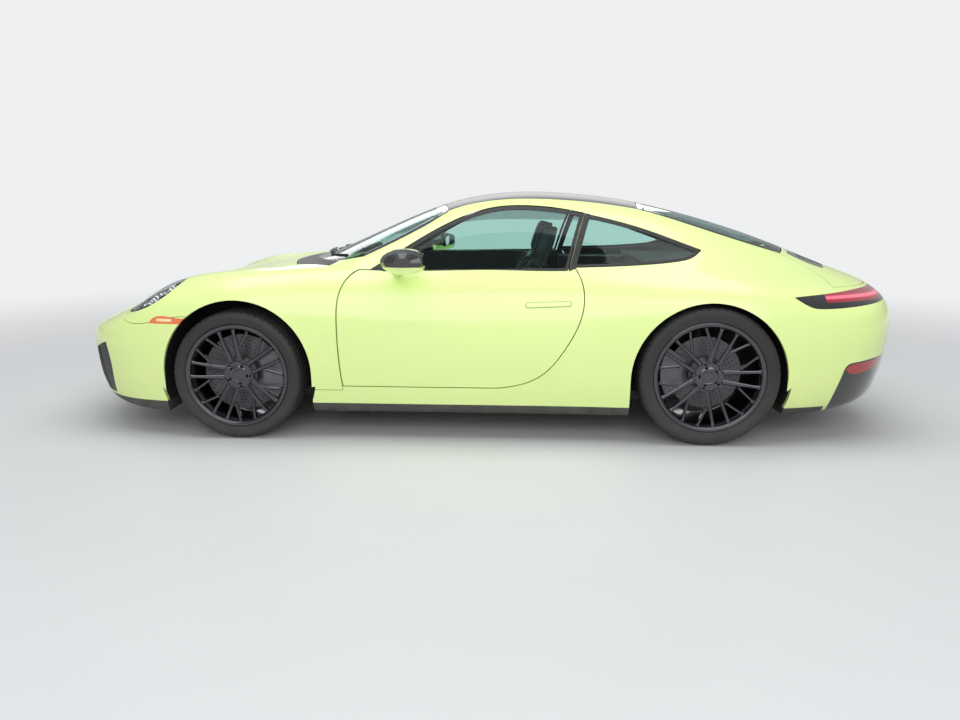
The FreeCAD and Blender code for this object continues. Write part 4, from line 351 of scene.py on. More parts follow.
def door_zones(middle, normal):
    """Paint on the outside and edges, black trim inside, and black painted shade on the window
    frame's rearward edges, where the shut line falls in shade.
    """
    inner = np.abs(middle[:, 1]) < DOOR_INNER
    # Above the waist, inward faces are black trim; rearward faces are painted shade for the dark
    # shut line.
    trim_or_shut_shade = (normal[:, 0] > SHUT_LINE_SHADE_FACING) | (normal[:, 1] * middle[:, 1] < 0)
    return [LIME_PAINT, CABIN_BLACK], (inner | (middle[:, 2] > WAIST_Z) & trim_or_shut_shade).astype(int)


LIME_PAINT = grained("lime_paint", PAINT_COLOUR, PAINT_SHADE, 0.42, 900.0, 0.03, dust=0.12,
                     coat=0.7, coat_roughness=0.10)
BLACK_TRIM = grained("black_trim", (0.022, 0.022, 0.024, 1), (0.03, 0.03, 0.032, 1), 0.55,
                     1500.0, 0.5, dust=0.25)
CABIN_BLACK = grained("cabin_black", (0.018, 0.018, 0.02, 1), (0.028, 0.028, 0.03, 1), 0.7,
                      1200.0, 0.5)
LINER_BLACK = grained("liner_black", (0.012, 0.012, 0.012, 1), (0.02, 0.02, 0.02, 1), 0.85,
                      400.0, 0.6)
PIANO_BLACK = grained("piano_black", (0.006, 0.006, 0.007, 1), (0.009, 0.009, 0.01, 1), 0.16,
                      900.0, 0.02, dust=0.1, coat=1.0)
ROOF_BLACK = grained("roof_black", (0.004, 0.004, 0.005, 1), (0.007, 0.007, 0.008, 1), 0.32,
                     900.0, 0.02, specular=0.22)
for panel in SHELL_PANELS:
    zones(panel, shell_zones)
zones("door_left", door_zones)
zones("door_right", door_zones)
finish(["front_fenders", "front_bumper", "rear_bumper", "front_lid", "rear_lid"], LIME_PAINT)
finish(["front_trim", "underbody", "cowl"], BLACK_TRIM)
finish(["rear_diffuser", "rear_grille"], PIANO_BLACK)
finish(["roof_panel"], ROOF_BLACK)


# Glass: laminated windscreen and tempered side and rear windows with a green grey tint,
# glued in from outside, each with a fired black border that hides the glue.
GLASS_TINT = (0.60, 0.81, 0.76, 1.0)
HALF_LENGTH, HALF_WIDTH, HEIGHT = 2.2765, 0.926, 1.298
DOOR_GLASS_TOP = ((-0.257, 0.675), (-0.176, 0.763), (-0.101, 0.841), (-0.026, 0.901),
                  (0.044, 0.931), (0.110, 0.935), (0.184, 0.924), (0.239, 0.906))
DOOR_GLASS_FOOT = ((-0.257, 0.675), (-0.120, 0.675), (0.056, 0.680), (0.201, 0.684))
DOOR_GLASS_REAR = ((0.201, 0.684), (0.220, 0.801), (0.239, 0.906))
QUARTER_FRONT = ((0.215, 0.697), (0.232, 0.801), (0.251, 0.903))
QUARTER_TOP = ((0.251, 0.903), (0.321, 0.875), (0.395, 0.837), (0.452, 0.801), (0.505, 0.767))
QUARTER_FOOT = ((0.215, 0.697), (0.320, 0.703), (0.395, 0.710), (0.457, 0.720), (0.488, 0.732),
                (0.507, 0.751), (0.511, 0.760))
SCREEN_FOOT = ((-0.433, 0.0), (-0.420, 0.324), (-0.387, 0.540), (-0.334, 0.691))
SCREEN_SIDE = ((-0.272, 0.726), (-0.176, 0.678), (-0.092, 0.589), (-0.077, 0.553))
SCREEN_TOP = ((-0.108, 0.0), (-0.094, 0.324), (-0.077, 0.553))
BACK_TOP = ((0.387, 0.0), (0.382, 0.216), (0.373, 0.448))
BACK_SIDE = ((0.373, 0.448), (0.483, 0.459), (0.615, 0.459), (0.720, 0.432))
BACK_FOOT = ((0.752, 0.0), (0.747, 0.216), (0.720, 0.432))
BORDER_RISE, SEAL_RISE, SKIN_OVER_GLASS, SINK = 0.0008, 0.0028, 0.004, -0.001
PANE_BEND, PANE_COAT = 1.1, 0.25
SIDE_OUT, FIT_SLACK = 0.3, 0.0015
GLASS_EDGE, SCREEN_BORDER, BACK_BORDER = 0.001, (0.06, 0.03, 0.05), (0.04, 0.03, 0.05)
SAIL_FOOT, SAIL_HEAD, STRIP_RISE = (0.185, 0.001), (0.165, 0.128), 0.0018


def tinted_glass(name, colour):
    """Thin clear pane: hardly bent light, a tint, and a weak hard mirror on its face."""
    material, tree, shader = new_material(name)
    put(tree, shader, {"Base Color": colour, "Roughness": 0.0, "Transmission Weight": 1.0,
                       "IOR": PANE_BEND, "Coat Weight": PANE_COAT, "Coat Roughness": 0.0})
    return material


def fitted_surface(names, origin, axes, keep, degree):
    """Smooth surface on the outer side of CAD nodes, as a function of (u, v, lift).

    The height w over the plane of the first two axes is the least-squares sum of u^i v^j with
    i + j up to the degree. Points well under the last fit are left out of the next, so the
    inner faces drop out. A place is (u, v, w) moved by lift along the surface's own normal.
    """
    axes, origin = np.array(axes, float), np.array(origin, float)
    points = [mesh_array(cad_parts[name].data.vertices, "co") for name in names]
    local = (np.vstack(points) - origin) @ axes.T
    local = local[keep(local)]
    middle, spread = local.mean(0), local.std(0)
    powers = [(i, j) for i in range(degree + 1) for j in range(degree + 1 - i)]

    def terms(u, v):
        across, up = (u - middle[0]) / spread[0], (v - middle[1]) / spread[1]
        return np.stack([across ** i * up ** j for i, j in powers], axis=-1)

    chosen = np.full(len(local), True)
    for slack in (0.0, FIT_SLACK, FIT_SLACK):
        u, v, w = local[chosen].T
        weights = np.linalg.lstsq(terms(u, v), w, rcond=None)[0]
        rest = local[:, 2] - terms(local[:, 0], local[:, 1]) @ weights
        chosen = rest > -slack

    def place(u, v, lift):
        u, v, lift = np.broadcast_arrays(np.asarray(u, float), v, lift)
        step = 1e-4
        w = terms(u, v) @ weights
        slope_u = (terms(u + step, v) @ weights - w) / step
        slope_v = (terms(u, v + step) @ weights - w) / step
        normal = np.stack([-slope_u, -slope_v, np.ones_like(w)], axis=-1)
        normal /= np.linalg.norm(normal, axis=-1, keepdims=True)
        return (np.stack([u, v, w], axis=-1) + normal * lift[..., None]) @ axes + origin

    return place


def smooth_through(points, count):
    """Curve through the given points: each span is the cubic whose end slopes are half the
    step between the points on either side."""
    points = np.asarray(points, float)
    ends = np.vstack([2 * points[0] - points[1], points, 2 * points[-1] - points[-2]])
    place = np.linspace(0.0, len(points) - 1.0, count)
    span = np.minimum(place.astype(int), len(points) - 2)
    t = (place - span)[:, None]
    a, b, c, d = (ends[span + k] for k in range(4))
    return 0.5 * (2 * b + (c - a) * t + (2 * a - 5 * b + 4 * c - d) * t ** 2
                  + (3 * b - a - 3 * c + d) * t ** 3)


def loft(rings):
    """Closed shell through rings of points (n, m, 3), shut at both ends by their middles."""
    rings = np.asarray(rings)
    shut = [np.repeat(rings[k:k + 1].mean(1, keepdims=True), rings.shape[1], 1) for k in (0, -1)]
    rings = np.concatenate([shut[0], rings, shut[1]])
    return rings, grid_faces(len(rings), rings.shape[1], wrap_columns=True)


def band(surface, outer, inner, foot, top, round_share=0.2):
    """Flat strip with rounded edges between two lines on a surface, from foot to top above it.

    A section point is outer + s (inner - outer) with s in 0..1, at its own height."""
    outer, inner = np.asarray(outer), np.asarray(inner)
    shares = np.array([0.0, 0.0, round_share, 1.0 - round_share, 1.0, 1.0])
    heights = np.array([foot, top * 0.6, top, top, top * 0.6, foot])
    line = outer[:, None, :] + shares[None, :, None] * (inner - outer)[:, None, :]
    return loft(surface(line[..., 0], line[..., 1], heights[None, :]))


def beside(line, width):
    """The line moved sideways by a width: positive to the right of its own direction."""
    way = np.gradient(line, axis=0)
    way /= np.linalg.norm(way, axis=1, keepdims=True)
    return line + np.stack([way[:, 1], -way[:, 0]], axis=1) * width


def edge_band(surface, line, start, end, top, round_share=0.2):
    """Strip along a line on a pane, between two distances beside it, sunk a little in the pane."""
    return band(surface, beside(line, start), beside(line, end), SINK, top, round_share)


def mirrored_line(shares, count=80):
    """Smooth curve across the car through points given from its middle to one side."""
    whole = np.vstack([np.array(shares[:0:-1]) * (1, -1), np.array(shares)])
    return smooth_through(whole * (HALF_LENGTH, HALF_WIDTH), count)


def side_line(shares, count=60):
    return smooth_through(np.array(shares) * (HALF_LENGTH, HEIGHT), count)


def other_side(parts):
    return [(np.asarray(points) * (1, -1, 1), faces, number) for points, faces, number in parts]


def both(parts):
    return parts + other_side(parts)


def one_finish(parts):
    return [part + (0,) for part in parts]


def screen_borders(surface, foot, side, top, widths):
    """Borders along the front, both sides and the rear of a pane seen from above."""
    flank = smooth_through(np.array(side) * (HALF_LENGTH, HALF_WIDTH), 50)
    bands = [edge_band(surface, mirrored_line(foot), GLASS_EDGE, widths[0], BORDER_RISE, 0.03),
             edge_band(surface, mirrored_line(top), -GLASS_EDGE, -widths[2], BORDER_RISE, 0.03)]
    sides = [edge_band(surface, flank, GLASS_EDGE, widths[1], BORDER_RISE, 0.03)]
    return one_finish(bands) + both(one_finish(sides))


SIDES = (("left", list), ("right", other_side))
SIDE_AXES = ((1, 0, 0), (0, 0, 1), (0, -1, 0))
TOP_AXES = ((1, 0, 0), (0, 1, 0), (0, 0, 1))
WINDOW_GLASS = tinted_glass("window_glass", GLASS_TINT)
BORDER_BLACK = grained("fired_border", (0.006, 0.006, 0.006, 1), (0.01, 0.01, 0.01, 1), 0.25,
                       1800.0, 0.05, coat=0.6)
SEAL_RUBBER = grained("seal_rubber", (0.012, 0.012, 0.012, 1), (0.02, 0.02, 0.02, 1), 0.6,
                      1500.0, 0.4)
finish(["windscreen", "rear_window", "quarter_windows", "door_glass_left", "door_glass_right"],
       WINDOW_GLASS)
side_glass = fitted_surface(["door_glass_left", "quarter_windows"], (0, 0, 0), SIDE_AXES,
                            lambda p: p[:, 2] > SIDE_OUT, 5)
screen = fitted_surface(["windscreen"], (0, 0, 0), TOP_AXES, lambda p: p[:, 2] > 0, 6)
back_glass = fitted_surface(["rear_window"], (0, 0, 0), TOP_AXES, lambda p: p[:, 2] > 0, 6)

door_top, door_foot = side_line(DOOR_GLASS_TOP, 90), side_line(DOOR_GLASS_FOOT)
door_rear = side_line(DOOR_GLASS_REAR, 30)
sail_share = np.linspace(0.0, 1.0, 24)[:, None]
sail_foot = door_foot[0] + sail_share * SAIL_FOOT
sail_head = door_top[0] + sail_share * SAIL_HEAD
door_seals = [edge_band(side_glass, door_top, GLASS_EDGE, 0.021, SEAL_RISE),
              edge_band(side_glass, door_foot, -0.0005, -0.014, SEAL_RISE + 0.0007),
              edge_band(side_glass, door_rear, -GLASS_EDGE, -0.016, BORDER_RISE),
              band(side_glass, sail_head, sail_foot, SINK, 0.0018, 0.02)]
quarter_top, quarter_foot = side_line(QUARTER_TOP), side_line(QUARTER_FOOT, 90)
quarter_front = side_line(QUARTER_FRONT, 30)
quarter_seals = [edge_band(side_glass, quarter_top, GLASS_EDGE, 0.022, SEAL_RISE),
                 edge_band(side_glass, quarter_foot, -0.0005, -0.014, SEAL_RISE),
                 band(side_glass, beside(door_rear, 0.0055), beside(quarter_front, 0.012), 0.001,
                      SKIN_OVER_GLASS + STRIP_RISE, 0.05)]
for side_name, turn in SIDES:
    seal = make_object("door_window_seals_" + side_name, turn(one_finish(door_seals)),
                       [SEAL_RUBBER], 40)
    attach(seal, "door_" + side_name)
window_trim = make_object("window_trim", both(one_finish(quarter_seals)), [SEAL_RUBBER], 40)
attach(window_trim, "body")
glass_borders = make_object(
    "glass_borders", screen_borders(screen, SCREEN_FOOT, SCREEN_SIDE, SCREEN_TOP, SCREEN_BORDER)
    + screen_borders(back_glass, BACK_TOP, BACK_SIDE, BACK_FOOT, BACK_BORDER),
    [BORDER_BLACK], 40)
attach(glass_borders, "body")


# Tyres: black rubber with a rounded tread, four grooves round it, slanted grooves over the
# shoulders and plain sidewalls with raised rings. Each stands for the faceted CAD ring.
WHEELS = {
    "front": {"x": -1.2665, "y": 0.790, "radius": 0.340, "width": 0.247, "bead": 0.254,
              "rim": 0.216, "face": 0.110, "back": 0.048, "turn": 65.0, "disc": 0.204},
    "rear": {"x": 1.1835, "y": 0.760, "radius": 0.361, "width": 0.318, "bead": 0.2667,
             "rim": 0.292, "face": 0.148, "back": 0.066, "turn": 34.0, "disc": 0.190},
}
TREAD_STEPS, SECTION_STEPS = 330, 118
GROOVE_PLACES, GROOVE_HALF, GROOVE_EDGE, GROOVE_DEPTH = (0.17, 0.50), 0.0045, 0.0015, 0.0065
SLANT_COUNT, SLANT_DEPTH, SLANT_LEAN, SLANT_SHARE, SLANT_START = 55, 0.005, 14.0, 0.22, 0.62
SLANT_END, SHOULDER_DROP = 0.006, 0.012
WALL_RING_PLACE, WALL_RING_WIDTH, WALL_RING_RISE, TREAD_EDGE = 0.030, 0.0016, 0.0008, 0.02


def wheel_place(wheel, radius, angle, out):
    """Point of a left wheel: radius and angle about the axle, and distance out of its middle."""
    radius, angle, out = np.broadcast_arrays(radius, angle, out)
    return np.stack([wheel["x"] + radius * np.cos(angle), -wheel["y"] - out,
                     wheel["radius"] + radius * np.sin(angle)], axis=-1)


def evenly(points, count):
    """The same line with its points at equal steps of its own length."""
    steps = np.concatenate([[0.0], np.cumsum(np.linalg.norm(np.diff(points, axis=0), axis=1))])
    wanted = np.linspace(0.0, steps[-1], count)
    return np.stack([np.interp(wanted, steps, points[:, k]) for k in (0, 1)], axis=1)


def tyre_part(wheel):
    """Section (out, radius) carried round the axle, lowered by the depth of the grooves.

    Grooves round the tyre lie where |out| is near a place; slanted ones where the angle plus
    a share of |out| falls in the first part of each pitch. Rings on the sidewalls are bell
    curves of the radius."""
    half, outer, bead, seat = wheel["width"] / 2, wheel["radius"], wheel["bead"], wheel["rim"] / 2
    side = [(seat, bead), (seat + 0.001, bead + 0.016), (seat + 0.0085, bead + 0.021),
            (half - 0.0025, bead + 0.034), (half, bead + 0.052), (half - 0.002, outer - 0.024),
            (half - 0.012, outer - 0.0095), (half - 0.027, outer - 0.0028),
            (half * 0.5, outer - 0.0004), (0.0, outer)]
    whole = side + [(-out, radius) for out, radius in side[-2::-1]]
    section = evenly(smooth_through(whole, 600), SECTION_STEPS)
    out, radius = section[:, 0][:, None], section[:, 1][:, None]
    angle = full_turn(TREAD_STEPS)
    reach = np.abs(out)
    depth = np.zeros((SECTION_STEPS, TREAD_STEPS))
    for share in GROOVE_PLACES:
        away = np.abs(reach - half * share)
        cut = np.clip((GROOVE_HALF + GROOVE_EDGE - away) / GROOVE_EDGE, 0, 1)
        depth = np.maximum(depth, GROOVE_DEPTH * cut)
    pitch = (angle * SLANT_COUNT / (2 * np.pi) + reach * SLANT_LEAN) % 1.0
    slanted = (pitch < SLANT_SHARE) & (reach > half * SLANT_START) & (reach < half - SLANT_END)
    slanted &= radius > outer - SHOULDER_DROP
    depth = np.maximum(depth, SLANT_DEPTH * slanted)
    rings = sum(np.exp(-((radius - place) / WALL_RING_WIDTH) ** 2)
                for place in (bead + WALL_RING_PLACE, outer - WALL_RING_PLACE))
    raised = rings * (radius < outer - TREAD_EDGE) - 1.0
    out = out + np.sign(out) * WALL_RING_RISE * raised
    points = wheel_place(wheel, radius - depth, angle, out)
    return points, grid_faces(SECTION_STEPS, TREAD_STEPS, wrap_rows=True, wrap_columns=True), 0


def fit_wheels(title, node, parts_of, finishes, crease):
    """The same piece on all four wheels, worked out on the left and turned over for the right."""
    for end, wheel in WHEELS.items():
        for side_name, turn in SIDES:
            place = "%s_%s" % (end, side_name)
            piece = make_object(title % place, turn(parts_of(wheel)), finishes, crease)
            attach(piece, "wheel_" + place)
            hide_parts(node + place)


RUBBER = grained("tyre_rubber", (0.020, 0.020, 0.020, 1), (0.030, 0.030, 0.029, 1), 0.62, 900.0,
                 0.5, dust=0.08, specular=0.4)
fit_wheels("tyre_%s_rubber", "tyre_", lambda wheel: [tyre_part(wheel)], [RUBBER], 35)


# Rims: cast aluminium in dark gloss graphite. Five arms leave the hub at the wheel bolts and
# fork into twenty ends; the arms' edges are chamfered, and a plain cap closes the hub.
DISH, DISH_POWER, PAD, CAP, LUG_RING, LUG_ROOM = 0.026, 1.25, 0.078, 0.033, 0.0565, 0.0125
CHAMFER, SPOKE_DEPTH, SPOKE_TAPER, SPOKE_SWELL, SWELL_SHARE = 0.0035, 0.030, 0.002, 0.009, 0.05
RIM_INSET, SPOKE_START, FORK_SHARE, BARREL_SIDES, HUB_SIDES = 0.008, 0.050, 0.62, 180, 240
HUB_RADIUS, HUB_LOBE, LUG_DEPTH, CAP_RISE, CAP_DOME = 0.0735, 0.0045, 0.020, 0.0055, 0.003
CAP_STEP, COLLAR_OUT, COLLAR_REACH, COLLAR_RISE = 0.0006, 0.006, 0.010, 0.004
LUGS, ENDS_PER_LUG, SPOKE_STEPS, BOLT_SIDES = 5, 4, 16, 6
BOLT_PROFILE = ((0.0, -0.010), (0.0045, -0.010), (0.0052, -0.004), (0.0075, -0.0035),
                (0.0082, -0.0045), (0.0082, -0.022), (0.0, -0.022))
ARM_SPREAD, ARM_WIDTHS = (0.55, 1.5), (0.025, 0.0135)
BRANCH_SPREAD, BRANCH_WIDTHS = (1.03, 0.5), (0.0145, 0.0125)


def barrel_part(wheel):
    """Closed section (out, radius) of the barrel with its two rolled lips, turned round."""
    half, bead = wheel["rim"] / 2, wheel["bead"]
    section = np.array([
        (-half - 0.009, bead - 0.008), (-half - 0.009, bead + 0.015),
        (-half - 0.0065, bead + 0.0175), (-half - 0.001, bead + 0.0175),
        (-half, bead + 0.002), (-half + 0.03, bead - 0.004),
        (half - 0.03, bead - 0.004), (half, bead + 0.002), (half + 0.001, bead + 0.0175),
        (half + 0.0065, bead + 0.0175), (half + 0.009, bead + 0.015), (half + 0.009, bead + 0.004),
        (half + 0.0065, bead - 0.001), (half - 0.002, bead - 0.0075), (half - 0.014, bead - 0.0095),
        (half - 0.05, bead - 0.013), (-half + 0.03, bead - 0.016), (-half, bead - 0.010)])
    angle = full_turn(BARREL_SIDES)
    points = wheel_place(wheel, section[:, 1][:, None], angle, section[:, 0][:, None])
    return points, grid_faces(len(section), BARREL_SIDES, wrap_rows=True, wrap_columns=True), 0


def spoke_part(wheel, start, end, width_in, width_out):
    """Chamfered bar between two places (radius, angle) that follows the hollow of the face.

    Width runs evenly from one end to the other and swells where it meets the rim; the face
    drops by the dish from the rim to the hub pad."""
    rim = wheel["bead"] - RIM_INSET
    t = np.linspace(0.0, 1.0, SPOKE_STEPS)[:, None]
    first, last = (np.array([r * math.cos(a), r * math.sin(a)]) for r, a in (start, end))
    line = first + (last - first) * t
    along = (last - first) / np.linalg.norm(last - first)
    across = np.array([-along[1], along[0]])
    width = width_in + (width_out - width_in) * t + SPOKE_SWELL * np.exp(-(1 - t) / SWELL_SHARE)
    radius = np.linalg.norm(line, axis=1, keepdims=True)
    face = wheel["face"] - DISH * np.clip((rim - radius) / (rim - PAD), 0, 1) ** DISH_POWER
    shift = np.hstack([-width / 2 + SPOKE_TAPER, -width / 2, -width / 2 + CHAMFER,
                       width / 2 - CHAMFER, width / 2, width / 2 - SPOKE_TAPER])
    drop = np.array([SPOKE_DEPTH, CHAMFER, 0.0, 0.0, CHAMFER, SPOKE_DEPTH])[None, :]
    flat = line[:, None, :] + shift[..., None] * across
    out = face - drop
    points = wheel_place(wheel, np.hypot(flat[..., 0], flat[..., 1]),
                         np.arctan2(flat[..., 1], flat[..., 0]), out)
    return loft(points) + (0,)


def hub_part(wheel):
    """Round pad whose edge swells at each arm; bolt pockets are sunk where a point lies near
    a bolt's centre, and the cap is a low dome with a step round it."""
    lug = math.radians(wheel["turn"])
    angle = full_turn(HUB_SIDES)
    share = np.concatenate([np.linspace(0.0, 1.0, 52), [1.02, 1.02, 0.0]])[:, None]
    radius = share * (HUB_RADIUS + HUB_LOBE * np.cos(LUGS * (angle - lug)))
    face = wheel["face"] - DISH
    collar = np.exp(-((radius - CAP - COLLAR_OUT) / COLLAR_REACH) ** 2)
    height = face + COLLAR_RISE * collar + 0 * angle
    for index in range(LUGS):
        bolt = lug + index * 2 * np.pi / LUGS
        away = np.hypot(radius * np.cos(angle) - LUG_RING * math.cos(bolt),
                        radius * np.sin(angle) - LUG_RING * math.sin(bolt))
        height = height - LUG_DEPTH * np.clip((LUG_ROOM + 0.001 - away) / 0.002, 0, 1)
    cap = np.clip((CAP + CAP_STEP - radius) / (2 * CAP_STEP), 0, 1)
    dome = face + CAP_RISE - CAP_DOME * (radius / CAP) ** 2
    height = height * (1 - cap) + dome * cap
    height[-2:] = wheel["back"]
    points = wheel_place(wheel, radius, angle, height)
    return points, grid_faces(len(share), HUB_SIDES, wrap_columns=True), 0


def bolt_part(wheel, bolt):
    """Six-sided bolt head with a sunk middle, in its pocket."""
    angle = full_turn(BOLT_SIDES)
    radius, out = np.array(BOLT_PROFILE).T[..., None]
    height = wheel["face"] - DISH + out
    across = LUG_RING * math.cos(bolt) + radius * np.cos(angle)
    up = LUG_RING * math.sin(bolt) + radius * np.sin(angle)
    points = wheel_place(wheel, np.hypot(across, up), np.arctan2(up, across), height)
    return points, grid_faces(len(radius), BOLT_SIDES, wrap_columns=True), 1


def rim_parts(wheel):
    """Barrel, hub and, for each bolt, its head, two arms and the branch on each arm.

    Places round the wheel count in steps between neighbouring ends, from the bolt's own line."""
    rim, step = wheel["bead"] - RIM_INSET, 2 * np.pi / (LUGS * ENDS_PER_LUG)
    parts = [barrel_part(wheel), hub_part(wheel)]
    bars = ((SPOKE_START, ARM_SPREAD, ARM_WIDTHS), (rim * FORK_SHARE, BRANCH_SPREAD, BRANCH_WIDTHS))
    for index in range(LUGS):
        middle = math.radians(wheel["turn"]) + index * ENDS_PER_LUG * step
        parts.append(bolt_part(wheel, middle))
        for sign in (-1, 1):
            for radius, spread, widths in bars:
                start, end = (middle + sign * step * share for share in spread)
                parts.append(spoke_part(wheel, (radius, start), (rim, end), *widths))
    return parts


GRAPHITE = grained("graphite_alloy", (0.050, 0.052, 0.060, 1), (0.062, 0.064, 0.072, 1), 0.24,
                   800.0, 0.02, metallic=0.9, coat=1.0)
BOLT_STEEL = grained("bolt_steel", (0.02, 0.02, 0.021, 1), (0.03, 0.03, 0.031, 1), 0.4, 800.0, 0.1,
                     metallic=0.8)
fit_wheels("rim_%s_alloy", "rim_", rim_parts, [GRAPHITE, BOLT_STEEL], 30)


# Brakes: cast iron discs turned bright, their rows of drilled holes painted on as dark painted
# shade, under painted aluminium calipers.
# The discs turn with the wheels; the calipers are bolted to the knuckles and rear carriers.
CALIPER_START, CALIPER_END, CALIPER_INNER = 0.119, 0.236, -0.0665
DISC_BRIGHT, DISC_DARK = (0.15, 0.15, 0.155, 1), (0.09, 0.09, 0.095, 1)
HOLE_PAINTED_SHADE = (0.01, 0.01, 0.01, 1)
HOLE_ROWS, ROW_LEAN, HOLES_PER_METRE = 36, 40.0, 55.0
HOLE_RADIUS, HOLES_START, TURNING_SCALE = 0.0032, 0.112, 900.0


def disc_iron(name, wheel):
    """Turned iron: fine rings, from noise of the radius alone, and holes painted dark as painted
    shade.

    A row number grows with the angle about the axle and a little with the radius, so rows
    lean; a hole is where the distance to the nearest crossing of a row and a step of the
    radius is under the hole's radius."""
    material, tree, shader = new_material(name)

    def work(operation, *values):
        return maths(tree, operation, *values)

    def off_middle(value):
        return work("SUBTRACT", work("FRACT", value), 0.5)

    centre = add_node(tree, "Mapping", {"Vector": own_place(tree),
                                        "Location": (-wheel["x"], 0.0, -wheel["radius"])})
    flat = add_node(tree, "VectorMath", {0: centre.outputs[0], 1: (1.0, 0.0, 1.0)},
                    operation="MULTIPLY").outputs[0]
    radius = add_node(tree, "VectorMath", {0: flat}, operation="LENGTH").outputs["Value"]
    x, y, z = add_node(tree, "SeparateXYZ", {0: flat}).outputs
    row = work("ADD", work("MULTIPLY", work("ARCTAN2", z, x), HOLE_ROWS / (2 * math.pi)),
               work("MULTIPLY", radius, ROW_LEAN))
    across = work("MULTIPLY", off_middle(row), work("MULTIPLY", radius, 2 * math.pi / HOLE_ROWS))
    along = work("MULTIPLY", off_middle(work("MULTIPLY", radius, HOLES_PER_METRE)),
                 1 / HOLES_PER_METRE)
    away = work("SQRT", work("ADD", work("MULTIPLY", across, across),
                             work("MULTIPLY", along, along)))
    # Painted shade: the holes are dark spots in the colour, not bores cut through the iron.
    hole = work("MULTIPLY", work("LESS_THAN", away, HOLE_RADIUS),
                work("GREATER_THAN", radius, HOLES_START))
    rings = add_node(tree, "TexNoise", {"W": radius, "Scale": TURNING_SCALE},
                     noise_dimensions="1D").outputs["Fac"]
    iron = mixed(tree, rings, DISC_BRIGHT, DISC_DARK)
    put(tree, shader, {"Base Color": mixed(tree, hole, iron, HOLE_PAINTED_SHADE), "Metallic": 0.9,
                       "Roughness": work("ADD", 0.28, work("MULTIPLY", rings, 0.2))})
    return material


def caliper_zones(end, base):
    """The caliper is what lies between two radii from the axle and near the wheel's middle."""
    wheel = WHEELS[end]

    def choose(middle, normal):
        x, y, z = middle.T
        reach = np.hypot(x - wheel["x"], z - wheel["radius"])
        caliper = (reach > CALIPER_START) & (reach < CALIPER_END)
        caliper &= np.abs(y) - wheel["y"] > CALIPER_INNER
        return [base, CALIPER_GREY], caliper.astype(int)

    return choose


CALIPER_GREY = grained("caliper_grey", (0.16, 0.165, 0.175, 1), (0.12, 0.125, 0.13, 1), 0.4, 900.0,
                       0.1, metallic=0.6, coat=0.4)
CAST_ALLOY = grained("cast_alloy", (0.30, 0.30, 0.31, 1), (0.22, 0.22, 0.23, 1), 0.55, 500.0, 0.5,
                     metallic=0.9)
STEEL = grained("dark_steel", (0.07, 0.07, 0.075, 1), (0.05, 0.05, 0.05, 1), 0.5, 700.0, 0.3,
                metallic=0.7)
for end, wheel in WHEELS.items():
    finish(["brake_disc_%s_left" % end, "brake_disc_%s_right" % end],
           disc_iron("disc_iron_" + end, wheel))
zones("knuckle_left", caliper_zones("front", CAST_ALLOY))
zones("knuckle_right", caliper_zones("front", CAST_ALLOY))
zones("rear_suspension", caliper_zones("rear", STEEL))
finish(["front_suspension"], STEEL)


# Headlamps: a clear hard cover flush with the wing over a dark bowl that holds four round
# lamp units, each a bright bezel round a domed lens; a thin black seal runs round the cover.
LAMP_PLACE, LAMP_LONG, LAMP_WIDE = (-1.733, -0.733, 0.757), 0.180, 0.122
LAMP_SLOPE, LAMP_TOE, LAMP_LEAN = math.radians(38.0), 0.10, 0.32
BOWL_LIP, BOWL_DEPTH, BOWL_EDGE, BOWL_WALL = 0.006, 0.050, 0.22, 0.004
COVER_TOP, COVER_FOOT = -0.0004, -0.0034
LAMP_UNITS = ((0.062, 0.044), (0.062, -0.042), (-0.052, 0.046), (-0.052, -0.044))
UNIT_RADIUS, UNIT_SIDES = 0.036, 40
SEAL_SHARES = (0.975, 0.975, 1.004, 1.004, 0.975)
SEAL_LIFTS = (-0.006, 0.0004, 0.0004, -0.006, -0.006)


def lamp_axes():
    """Long way down the wing, wide way across it, and outwards."""
    long_way = np.array([-math.cos(LAMP_SLOPE), LAMP_TOE, -math.sin(LAMP_SLOPE)])
    long_way /= np.linalg.norm(long_way)
    out = np.array([-math.sin(LAMP_SLOPE), -LAMP_LEAN, math.cos(LAMP_SLOPE)])
    wide = np.cross(long_way, out)
    wide /= np.linalg.norm(wide)
    return np.array([long_way, wide, np.cross(wide, long_way)])


lamp_skin = fitted_surface(["headlamps"], LAMP_PLACE, lamp_axes(),
                           lambda p: (np.abs(p[:, 2]) < 0.3) & (np.abs(p[:, 1]) < 0.2), 5)


def oval_shell(share, lift, columns=96):
    """Rows of an oval at shares of its full size, each row at its own lift off the skin."""
    share, lift = np.asarray(share, float)[:, None], np.asarray(lift, float)[:, None]
    angle = full_turn(columns)
    points = lamp_skin(share * LAMP_LONG * np.cos(angle), share * LAMP_WIDE * np.sin(angle), lift)
    return points, grid_faces(len(share), columns, wrap_columns=True)


def bowl_lift(share):
    """Depth of the bowl under the cover: steep near the edge and flat inside it."""
    return -BOWL_LIP - BOWL_DEPTH * np.clip((1.0 - share) / BOWL_EDGE, 0, 1) ** 0.7


rise = np.linspace(0.0, 0.985, 24)
cover = oval_shell(np.concatenate([rise, rise[::-1]]),
                   np.concatenate([0 * rise + COVER_TOP, 0 * rise + COVER_FOOT])) + (0,)
deep = np.linspace(0.0, 0.992, 30)
bowl = oval_shell(np.concatenate([deep, deep[::-1]]),
                  np.concatenate([bowl_lift(deep), bowl_lift(deep) - BOWL_WALL])) + (0,)
seal = oval_shell(SEAL_SHARES, SEAL_LIFTS) + (1,)


